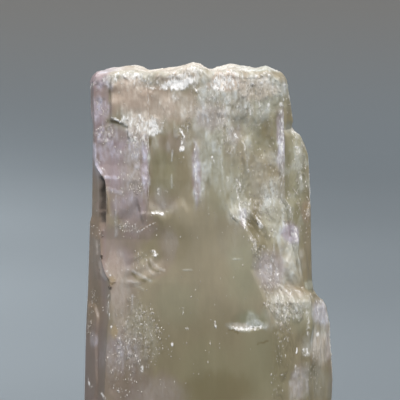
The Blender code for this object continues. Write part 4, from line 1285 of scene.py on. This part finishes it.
def inside_points(rim):
    """Points spread over the top, clear of its rim."""
    spread = np.random.RandomState(SEED)
    low, high = rim.min(axis=0), rim.max(axis=0)
    ends = np.roll(rim, -1, axis=0)
    span = np.where(ends[:, 1] == rim[:, 1], 1.0, ends[:, 1] - rim[:, 1])
    found = []
    for across in np.arange(low[0], high[0], CAP_SPACING):
        for depth in np.arange(low[1], high[1], CAP_SPACING):
            place = np.array([across, depth]) + spread.uniform(-CAP_JITTER, CAP_JITTER, 2) * CAP_SPACING
            crosses = (rim[:, 1] > place[1]) != (ends[:, 1] > place[1])
            where = rim[:, 0] + (place[1] - rim[:, 1]) / span * (ends[:, 0] - rim[:, 0])
            within = np.count_nonzero(crosses & (where > place[0])) % 2 == 1
            if within and np.hypot(*(rim - place).T).min() > CAP_CLEARANCE * CAP_SPACING:
                found.append(place)
    return np.array(found)


def top_marks(x, y):
    """The marks of the broken top."""
    cloud = noise(x / 1.6, y / 1.6, SEED + 180) + 0.6 * noise(x / 0.6, y / 0.6, SEED + 181)
    zero = np.zeros_like(x)
    return {
        "haze": 0.4 + 0.4 * smooth(-0.6, 0.4, cloud),
        "frost": 0.35 * smooth(-0.5, 0.8, cloud),
        "mauve": 0.7 * smooth(-9.0, -13.0, x),
        "tan": 0.45 * smooth(-13.0, -10.0, x) * smooth(6.0, 2.0, x),
        "green": 0.5 * smooth(2.0, 6.0, x),
        "deep": 0.3 * smooth(0.3, 1.0, -cloud),
        "gold": zero,
        "iron": zero,
        "chips": 0.6 * smooth(-0.2, 0.8, cloud),
        "gaps": zero,
    }


def skin_mesh(sizes):
    """The closed fine skin, with its marks as named attributes."""
    points, marks = skin(sizes)
    columns, rows = points.shape[:2]
    rim = points[:, -1, :2]
    inner = inside_points(rim)
    cap_height = top_height(inner[:, 0], inner[:, 1]) + top_grains(sizes, inner[:, 0], inner[:, 1])
    cap = np.column_stack([inner, cap_height])
    verts = np.vstack([points.reshape(-1, 3), cap]) * MM
    c, r = np.meshgrid(np.arange(columns), np.arange(rows - 1), indexing="ij")
    following = (c + 1) % columns
    quads = np.stack([c * rows + r, following * rows + r, following * rows + r + 1, c * rows + r + 1], axis=2)
    faces = quads.reshape(-1, 4).tolist()
    faces.append([i * rows for i in reversed(range(columns))])
    flat = [Vector(place) for place in np.vstack([rim, inner])]
    outline = [(i, (i + 1) % columns) for i in range(columns)]
    _, _, triangles, sources, _, _ = geometry.delaunay_2d_cdt(flat, outline, [], 1, 1e-6)
    numbers = [i * rows + rows - 1 for i in range(columns)]
    numbers += [columns * rows + i for i in range(len(inner))]
    faces += [[numbers[sources[corner][0]] for corner in triangle] for triangle in triangles]
    mesh = bpy.data.meshes.new("crystal_skin")
    mesh.from_pydata(verts.tolist(), [], faces)
    found = top_marks(inner[:, 0], inner[:, 1])
    for kind, values in marks.items():
        layer = mesh.attributes.new(kind, "FLOAT", "POINT")
        layer.data.foreach_set("value", np.concatenate([values.reshape(-1), found[kind]]).astype(np.float32))
    mesh.validate()
    mesh.shade_smooth()
    mesh.set_sharp_from_angle(angle=math.radians(SHARP_ANGLE))
    return mesh


def add_node(tree, kind, place, **settings):
    """A new node at a place, with its own settings."""
    made = tree.nodes.new(kind)
    made.location = place
    for name, value in settings.items():
        setattr(made, name, value)
    return made


def feed(tree, socket, value):
    """Gives an input a link, a colour or a number."""
    if isinstance(value, bpy.types.NodeSocket):
        tree.links.new(value, socket)
    elif isinstance(value, (int, float)):
        socket.default_value = value
    else:
        socket.default_value = (*value, 1.0)


def mark_node(tree, kind, place):
    """The strength of one kind of mark."""
    return add_node(tree, "ShaderNodeAttribute", place, attribute_name=kind).outputs["Fac"]


def math_node(tree, operation, place, *values):
    """Arithmetic on values, each a socket or a number, kept between 0 and 1."""
    made = add_node(tree, "ShaderNodeMath", place, operation=operation, use_clamp=True)
    for socket, value in zip(made.inputs, values):
        feed(tree, socket, value)
    return made.outputs[0]


def ramp_node(tree, value, low, high, place):
    """Rises smoothly from 0 to 1 as a value passes from low to high."""
    made = add_node(tree, "ShaderNodeMapRange", place, interpolation_type="SMOOTHSTEP")
    feed(tree, made.inputs["Value"], value)
    feed(tree, made.inputs["From Min"], low)
    feed(tree, made.inputs["From Max"], high)
    return made.outputs["Result"]


def colour_mix(tree, share, first, second, place, blend="MIX"):
    """A mix of two colours, each a socket or an rgb triple."""
    made = add_node(tree, "ShaderNodeMix", place, data_type="RGBA", blend_type=blend)
    feed(tree, made.inputs["Factor"], share)
    feed(tree, made.inputs[6], first)
    feed(tree, made.inputs[7], second)
    return made.outputs[2]


def grain_node(tree, grain, place):
    """Noise in real space, drawn out along the crystal."""
    scale, squash, detail = grain
    where = add_node(tree, "ShaderNodeTexCoord", (place[0] - 400, place[1]))
    turn = add_node(tree, "ShaderNodeMapping", (place[0] - 200, place[1]))
    turn.inputs["Scale"].default_value = (1.0, 1.0, squash)
    made = add_node(tree, "ShaderNodeTexNoise", place)
    made.inputs["Scale"].default_value = scale
    made.inputs["Detail"].default_value = detail
    tree.links.new(where.outputs["Object"], turn.inputs["Vector"])
    tree.links.new(turn.outputs["Vector"], made.inputs["Vector"])
    return made.outputs["Fac"]


def layered(tree, colour, layers, place):
    """Lays colours over the first one, each where its kind of mark is strong."""
    for step, (kind, shade) in enumerate(layers):
        mark = mark_node(tree, kind, (place[0] - 400, place[1] - 150 * step))
        colour = colour_mix(tree, mark, colour, tuple(shade), (place[0] + 150 * step, place[1]))
    return colour


def body_colour(tree, colours):
    """The clear body: olive, green, mauve and tan in broad soft random streaks, under the deep layer of dark
    clear places and painted shade.
    """
    layers = [("green", colours.green), ("mauve", colours.mauve), ("tan", colours.tan)]
    colour = layered(tree, tuple(colours.olive), layers, (-600, 400))
    shade = ramp_node(tree, grain_node(tree, STREAK_GRAIN, (-1000, -600)), 0.35, 0.65, (-800, -600))
    dark = math_node(tree, "MULTIPLY", (-600, -600), shade, STREAK_SHARE)
    colour = colour_mix(tree, dark, colour, (0.0, 0.0, 0.0), (-150, 250))
    return layered(tree, colour, [("deep", colours.deep)], (0, 200))


def veil_colour(tree, colours):
    """The veil of shallow etching: grey, lavender or cream."""
    layers = [("mauve", colours.lavender), ("tan", colours.cream)]
    return layered(tree, tuple(colours.veil), layers, (-600, 1500))


def haze_share(tree):
    """How far the veil covers, drawn out into fibres."""
    fibre = grain_node(tree, FIBRE_GRAIN, (-1000, 1100))
    comb = math_node(tree, "MULTIPLY_ADD", (-800, 1100), fibre, FIBRE_CONTRAST, FIBRE_OFFSET)
    comb.node.use_clamp = False
    return math_node(tree, "MULTIPLY", (-600, 1100), mark_node(tree, "haze", (-1000, 1200)), comb)


def frost_and_glint_share(tree, bead):
    """Where white etching shows: crisp at its edges, and scattered in specks where chips gather, which also
    stand as painted glints off small facets.
    """
    frost = mark_node(tree, "frost", (-1000, 900))
    rise = math_node(tree, "MULTIPLY", (-800, 900), frost, FROST_SWAY)
    sway = math_node(tree, "MULTIPLY_ADD", (-800, 800), bead, 2.0, -1.0)
    sway.node.use_clamp = False
    sway = math_node(tree, "MULTIPLY", (-650, 850), sway, rise)
    sway.node.use_clamp = False
    whole = math_node(tree, "ADD", (-500, 900), frost, sway)
    solid = ramp_node(tree, whole, *FROST_EDGE, (-350, 900))
    grit = grain_node(tree, SPECK_GRAIN, (-1000, 650))
    chips = mark_node(tree, "chips", (-1000, 550))
    level = math_node(tree, "MULTIPLY_ADD", (-800, 650), chips, -SPECK_DROP, SPECK_LEVEL)
    above = math_node(tree, "SUBTRACT", (-650, 650), grit, level)
    above = math_node(tree, "MULTIPLY", (-500, 650), above, SPECK_SHARPNESS)
    specks = math_node(tree, "MULTIPLY", (-350, 650), above, SPECK_STRENGTH)
    return math_node(tree, "MAXIMUM", (-200, 800), solid, specks)


def spodumene_material(colours):
    """Cloudy spodumene: clear olive and mauve parts under a pale veil and broken white etching."""
    material = bpy.data.materials.new("cloudy_spodumene")
    material.use_nodes = True
    tree = material.node_tree
    shader = tree.nodes["Principled BSDF"]
    shader.location = (900, 0)
    tree.nodes["Material Output"].location = (1300, 0)
    bead = grain_node(tree, BEAD_GRAIN, (-1400, 700))
    haze = haze_share(tree)
    frost = frost_and_glint_share(tree, bead)
    iron = mark_node(tree, "iron", (-1000, -900))
    colour = colour_mix(tree, haze, body_colour(tree, colours), veil_colour(tree, colours), (150, 300))
    colour = layered(tree, colour, [("gold", colours.gold)], (300, 300))
    colour = colour_mix(tree, frost, colour, tuple(colours.frost), (450, 300))
    # Painted shade in the gaps between the etching's beads, in the deep colour
    gaps = mark_node(tree, "gaps", (-1000, -1100))
    gaps = math_node(tree, "MULTIPLY", (-800, -1100), gaps, GAP_SHADE_SHARE)
    colour = colour_mix(tree, gaps, colour, tuple(colours.deep), (520, 300))
    colour = colour_mix(tree, iron, colour, tuple(colours.iron), (600, 300))
    tree.links.new(colour, shader.inputs["Base Color"])
    cover = math_node(tree, "MAXIMUM", (200, -100), math_node(tree, "MAXIMUM", (50, -100), haze, frost), iron)
    clear = math_node(tree, "SUBTRACT", (350, -100), 1.0, cover)
    through = math_node(tree, "MULTIPLY", (500, -100), clear, CLEARNESS)
    feed(tree, shader.inputs["Transmission Weight"], through)
    dull = math_node(tree, "MULTIPLY_ADD", (500, -300), cover, ETCHED_ROUGHNESS, ROUGHNESS)
    feed(tree, shader.inputs["Roughness"], dull)
    shader.inputs["IOR"].default_value = IOR
    shader.inputs["Specular IOR Level"].default_value = SPECULAR_LEVEL
    shader.inputs["Coat Weight"].default_value = COAT
    shader.inputs["Coat Roughness"].default_value = COAT_ROUGHNESS
    etched = math_node(tree, "ADD", (200, -500), cover, 0.06)
    lift = add_node(tree, "ShaderNodeBump", (600, -500))
    lift.inputs["Strength"].default_value = GRAIN_STRENGTH
    lift.inputs["Distance"].default_value = GRAIN_RISE
    feed(tree, lift.inputs["Height"], math_node(tree, "MULTIPLY", (400, -500), bead, etched))
    tree.links.new(lift.outputs["Normal"], shader.inputs["Normal"])
    inside = add_node(tree, "ShaderNodeVolumeAbsorption", (900, -500))
    inside.inputs["Color"].default_value = ABSORBED_COLOUR
    inside.inputs["Density"].default_value = ABSORPTION
    tree.links.new(inside.outputs["Volume"], tree.nodes["Material Output"].inputs["Volume"])
    return material


def chip_material():
    """Pale etch chips, some brighter than others."""
    material = bpy.data.materials.new("etch_chip")
    material.use_nodes = True
    tree = material.node_tree
    shader = tree.nodes["Principled BSDF"]
    tint = ramp_node(tree, grain_node(tree, CHIP_GRAIN, (-600, 200)), 0.4, 0.62, (-400, 200))
    feed(tree, shader.inputs["Base Color"], colour_mix(tree, tint, *CHIP_COLOURS, (-200, 200)))
    shader.inputs["Roughness"].default_value = CHIP_ROUGHNESS
    shader.inputs["IOR"].default_value = IOR
    return material


def random_node(tree, low, high, seed, place):
    """A random number for each chip."""
    made = add_node(tree, "FunctionNodeRandomValue", place, data_type="FLOAT")
    made.inputs[2].default_value = low
    made.inputs[3].default_value = high
    made.inputs["Seed"].default_value = seed
    return made.outputs[1]


def times_node(tree, first, second, place):
    """Two values multiplied, free to pass 1."""
    made = add_node(tree, "ShaderNodeMath", place, operation="MULTIPLY")
    tree.links.new(first, made.inputs[0])
    tree.links.new(second, made.inputs[1])
    return made.outputs[0]


def chip_tree():
    """Geometry Nodes that strew small upright chips where the chips attribute is strong."""
    tree = bpy.data.node_groups.new("strewn_chips", "GeometryNodeTree")
    for name, kind in (
        ("Geometry", "NodeSocketGeometry"),
        ("Chip length", "NodeSocketFloat"),
        ("Chip width", "NodeSocketFloat"),
        ("Chips per area", "NodeSocketFloat"),
        ("Seed", "NodeSocketInt"),
        ("Finish", "NodeSocketMaterial"),
    ):
        tree.interface.new_socket(name=name, in_out="INPUT", socket_type=kind)
    tree.interface.new_socket(name="Geometry", in_out="OUTPUT", socket_type="NodeSocketGeometry")
    given = add_node(tree, "NodeGroupInput", (-1200, 0))
    result = add_node(tree, "NodeGroupOutput", (1000, 0))
    strength = add_node(tree, "GeometryNodeInputNamedAttribute", (-1200, 300), data_type="FLOAT")
    strength.inputs["Name"].default_value = "chips"
    density = times_node(tree, strength.outputs["Attribute"], given.outputs["Chips per area"], (-1000, 200))
    spread = add_node(tree, "GeometryNodeDistributePointsOnFaces", (-800, 0), distribute_method="RANDOM")
    tree.links.new(given.outputs["Geometry"], spread.inputs["Mesh"])
    tree.links.new(density, spread.inputs["Density"])
    tree.links.new(given.outputs["Seed"], spread.inputs["Seed"])
    out = add_node(tree, "FunctionNodeAlignRotationToVector", (-500, -200), axis="Z")
    tree.links.new(spread.outputs["Normal"], out.inputs["Vector"])
    lean = add_node(tree, "FunctionNodeRandomValue", (-700, -400), data_type="FLOAT_VECTOR")
    lean.inputs["Min"].default_value = CHIP_LEAN[0]
    lean.inputs["Max"].default_value = CHIP_LEAN[1]
    upright = add_node(tree, "FunctionNodeAlignRotationToVector", (-300, -200), axis="Y", pivot_axis="Z")
    tree.links.new(out.outputs["Rotation"], upright.inputs["Rotation"])
    tree.links.new(lean.outputs["Value"], upright.inputs["Vector"])
    long = random_node(tree, *CHIP_LENGTHS, 0, (-700, -600))
    wide = random_node(tree, *CHIP_WIDTHS, 3, (-700, -800))
    half_length = times_node(tree, long, given.outputs["Chip length"], (-500, -600))
    half_width = times_node(tree, wide, given.outputs["Chip width"], (-500, -800))
    size = add_node(tree, "ShaderNodeCombineXYZ", (-300, -600))
    tree.links.new(half_width, size.inputs["X"])
    tree.links.new(half_length, size.inputs["Y"])
    tree.links.new(half_width, size.inputs["Z"])
    form = add_node(tree, "GeometryNodeMeshIcoSphere", (-300, 200))
    form.inputs["Radius"].default_value = 1.0
    form.inputs["Subdivisions"].default_value = 1
    strewn = add_node(tree, "GeometryNodeInstanceOnPoints", (0, 0))
    tree.links.new(spread.outputs["Points"], strewn.inputs["Points"])
    tree.links.new(form.outputs["Mesh"], strewn.inputs["Instance"])
    tree.links.new(upright.outputs["Rotation"], strewn.inputs["Rotation"])
    tree.links.new(size.outputs["Vector"], strewn.inputs["Scale"])
    whole = add_node(tree, "GeometryNodeRealizeInstances", (300, 0))
    finish = add_node(tree, "GeometryNodeSetMaterial", (600, 0))
    tree.links.new(strewn.outputs["Instances"], whole.inputs["Geometry"])
    tree.links.new(whole.outputs["Geometry"], finish.inputs["Geometry"])
    tree.links.new(given.outputs["Finish"], finish.inputs["Material"])
    tree.links.new(finish.outputs["Geometry"], result.inputs["Geometry"])
    return tree


def set_inputs(modifier, values):
    """Sets a Geometry Nodes modifier's inputs by the names of its sockets."""
    for item in modifier.node_group.interface.items_tree:
        if item.item_type == "SOCKET" and item.in_out == "INPUT" and item.name in values:
            modifier[item.identifier] = values[item.name]


def plain_mesh(obj):
    """Turns what an object's modifiers make into its own plain mesh."""
    graph = bpy.context.evaluated_depsgraph_get()
    result = obj.evaluated_get(graph)
    mesh = bpy.data.meshes.new_from_object(result, preserve_all_data_layers=True, depsgraph=graph)
    obj.modifiers.clear()
    obj.data = mesh


class CRYSTAL_OT_skin(bpy.types.Operator):
    """Build the fine skin in place of the plain solid"""

    bl_idname = "crystal.skin"
    bl_label = "Crystal skin"

    def execute(self, context):
        obj = bpy.data.objects.new("crystal_skin", skin_mesh(context.scene.crystal_sizes))
        context.scene.collection.objects.link(obj)
        obj.data.materials.append(spodumene_material(context.scene.crystal_colours))
        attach(obj, "root")
        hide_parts("crystal")
        return {"FINISHED"}


class CRYSTAL_OT_chips(bpy.types.Operator):
    """Strew small etch chips over the frosted parts of the skin"""

    bl_idname = "crystal.chips"
    bl_label = "Etch chips"

    def execute(self, context):
        sizes = context.scene.crystal_sizes
        obj = bpy.data.objects.new("etch_chips", bpy.data.objects["crystal_skin"].data.copy())
        context.scene.collection.objects.link(obj)
        modifier = obj.modifiers.new("strew", "NODES")
        modifier.node_group = chip_tree()
        set_inputs(
            modifier,
            {
                "Chip length": sizes.chip_length,
                "Chip width": sizes.chip_width,
                "Chips per area": sizes.chip_density,
                "Seed": SEED,
                "Finish": chip_material(),
            },
        )
        context.view_layer.update()
        plain_mesh(obj)
        if not obj.data.polygons:
            raise RuntimeError("no chips were strewn")
        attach(obj, "root")
        return {"FINISHED"}


def stage_material(settings):
    """Seamless paper that darkens from the pale floor to the grey wall."""
    material = bpy.data.materials.new("seamless_paper")
    material.use_nodes = True
    tree = material.node_tree
    shader = tree.nodes["Principled BSDF"]
    where = add_node(tree, "ShaderNodeTexCoord", (-900, 0))
    parts = add_node(tree, "ShaderNodeSeparateXYZ", (-700, 0))
    tree.links.new(where.outputs["Object"], parts.inputs["Vector"])
    climb = ramp_node(tree, parts.outputs["Z"], 0.0, WALL_FROM, (-500, 0))
    colour = colour_mix(tree, climb, tuple(settings.floor), tuple(settings.wall), (-250, 0))
    feed(tree, shader.inputs["Base Color"], colour)
    shader.inputs["Roughness"].default_value = PAPER_ROUGHNESS
    return material


def stage_mesh():
    """A round floor that curves up into a wall on every side."""
    profile = [(0.0, 0.0), (FLOOR_RADIUS * 0.5, 0.0), (FLOOR_RADIUS, 0.0)]
    for step in range(1, SWEEP_STEPS + 1):
        turn = math.pi / 2 * step / SWEEP_STEPS
        profile.append((FLOOR_RADIUS + SWEEP_RADIUS * math.sin(turn), SWEEP_RADIUS * (1.0 - math.cos(turn))))
    profile.append((FLOOR_RADIUS + SWEEP_RADIUS, WALL_HEIGHT))
    bm = bmesh.new()
    verts = [bm.verts.new((radius, 0.0, height)) for radius, height in profile]
    edges = [bm.edges.new(pair) for pair in zip(verts, verts[1:])]
    bmesh.ops.spin(
        bm, geom=verts + edges, angle=2.0 * math.pi, steps=STAGE_SIDES, axis=(0, 0, 1), cent=(0, 0, 0)
    )
    bmesh.ops.remove_doubles(bm, verts=bm.verts, dist=1e-5)
    bmesh.ops.recalc_face_normals(bm, faces=bm.faces)
    mesh = bpy.data.meshes.new("stage")
    bm.to_mesh(mesh)
    bm.free()
    mesh.shade_smooth()
    return mesh


def add_light(light, place, aim, power):
    """Sets a light at a place, facing a point."""
    light.energy = power
    obj = bpy.data.objects.new(light.name, light)
    obj.location = place
    obj.rotation_euler = (Vector(aim) - Vector(place)).to_track_quat("-Z", "Y").to_euler()
    bpy.context.scene.collection.objects.link(obj)


def softbox(name, width, height):
    """A rectangular soft light."""
    light = bpy.data.lights.new(name, "AREA")
    light.shape = "RECTANGLE"
    light.size = width
    light.size_y = height
    return light


def spot(name, angle):
    """A pool of light with a fully soft edge."""
    light = bpy.data.lights.new(name, "SPOT")
    light.spot_size = math.radians(angle)
    light.spot_blend = 1.0
    light.shadow_soft_size = POOL_SOFTNESS
    return light


def add_camera():
    """The camera at the viewing angle of the front."""
    camera = bpy.data.cameras.new("camera")
    camera.lens = LENS
    camera.sensor_width = SENSOR
    camera.clip_start = CLIP_START
    camera.clip_end = CLIP_END
    obj = bpy.data.objects.new("camera", camera)
    eye = Vector(eye_place()) * MM
    obj.location = eye
    obj.rotation_euler = (Vector(TARGET) * MM - eye).to_track_quat("-Z", "Y").to_euler()
    bpy.context.scene.collection.objects.link(obj)
    bpy.context.scene.camera = obj


def add_room(strength):
    """Even light from all around."""
    world = bpy.data.worlds.new("room")
    world.use_nodes = True
    background = world.node_tree.nodes["Background"]
    background.inputs["Color"].default_value = ROOM_TINT
    background.inputs["Strength"].default_value = strength
    bpy.context.scene.world = world


class CRYSTAL_OT_stage(bpy.types.Operator):
    """Build the floor, the backdrop, the lights and the camera"""

    bl_idname = "crystal.stage"
    bl_label = "Stage"

    def execute(self, context):
        settings = context.scene.crystal_stage
        floor = bpy.data.objects.new("stage", stage_mesh())
        context.scene.collection.objects.link(floor)
        floor.data.materials.append(stage_material(settings))
        for name, width, height, place, aim in SOFTBOXES:
            power = getattr(settings, f"{name}_light")
            add_light(softbox(f"{name}_softbox", width, height), place, aim, power)
        for across, behind in POOLS:
            place = (across, behind, POOL_HEIGHT)
            add_light(spot("floor_pool", POOL_ANGLE), place, (across, behind, 0.0), settings.pool_light)
        add_room(settings.room_light)
        add_camera()
        context.scene.view_settings.view_transform = "Standard"
        return {"FINISHED"}


class CRYSTAL_PT_panel(bpy.types.Panel):
    """Lists the crystal's pieces and their settings"""

    bl_idname = "CRYSTAL_PT_panel"
    bl_label = "Crystal"
    bl_space_type = "VIEW_3D"
    bl_region_type = "UI"
    bl_category = "Crystal"

    def draw(self, context):
        for name in ("crystal_sizes", "crystal_colours", "crystal_stage"):
            settings = getattr(context.scene, name)
            for prop in settings.bl_rna.properties:
                if not prop.is_readonly and prop.identifier != "name":
                    self.layout.prop(settings, prop.identifier)
        for operator in (CRYSTAL_OT_skin, CRYSTAL_OT_chips, CRYSTAL_OT_stage):
            self.layout.operator(operator.bl_idname)


CLASSES = (
    CrystalSizes,
    CrystalColours,
    StageSettings,
    CRYSTAL_OT_skin,
    CRYSTAL_OT_chips,
    CRYSTAL_OT_stage,
    CRYSTAL_PT_panel,
)


def register():
    for item in CLASSES:
        bpy.utils.register_class(item)
    bpy.types.Scene.crystal_sizes = bpy.props.PointerProperty(type=CrystalSizes)
    bpy.types.Scene.crystal_colours = bpy.props.PointerProperty(type=CrystalColours)
    bpy.types.Scene.crystal_stage = bpy.props.PointerProperty(type=StageSettings)


def unregister():
    del bpy.types.Scene.crystal_stage
    del bpy.types.Scene.crystal_colours
    del bpy.types.Scene.crystal_sizes
    for item in reversed(CLASSES):
        bpy.utils.unregister_class(item)


def main():
    register()
    bpy.ops.crystal.skin()
    bpy.ops.crystal.chips()
    bpy.ops.crystal.stage()


if __name__ == "__main__":
    main()
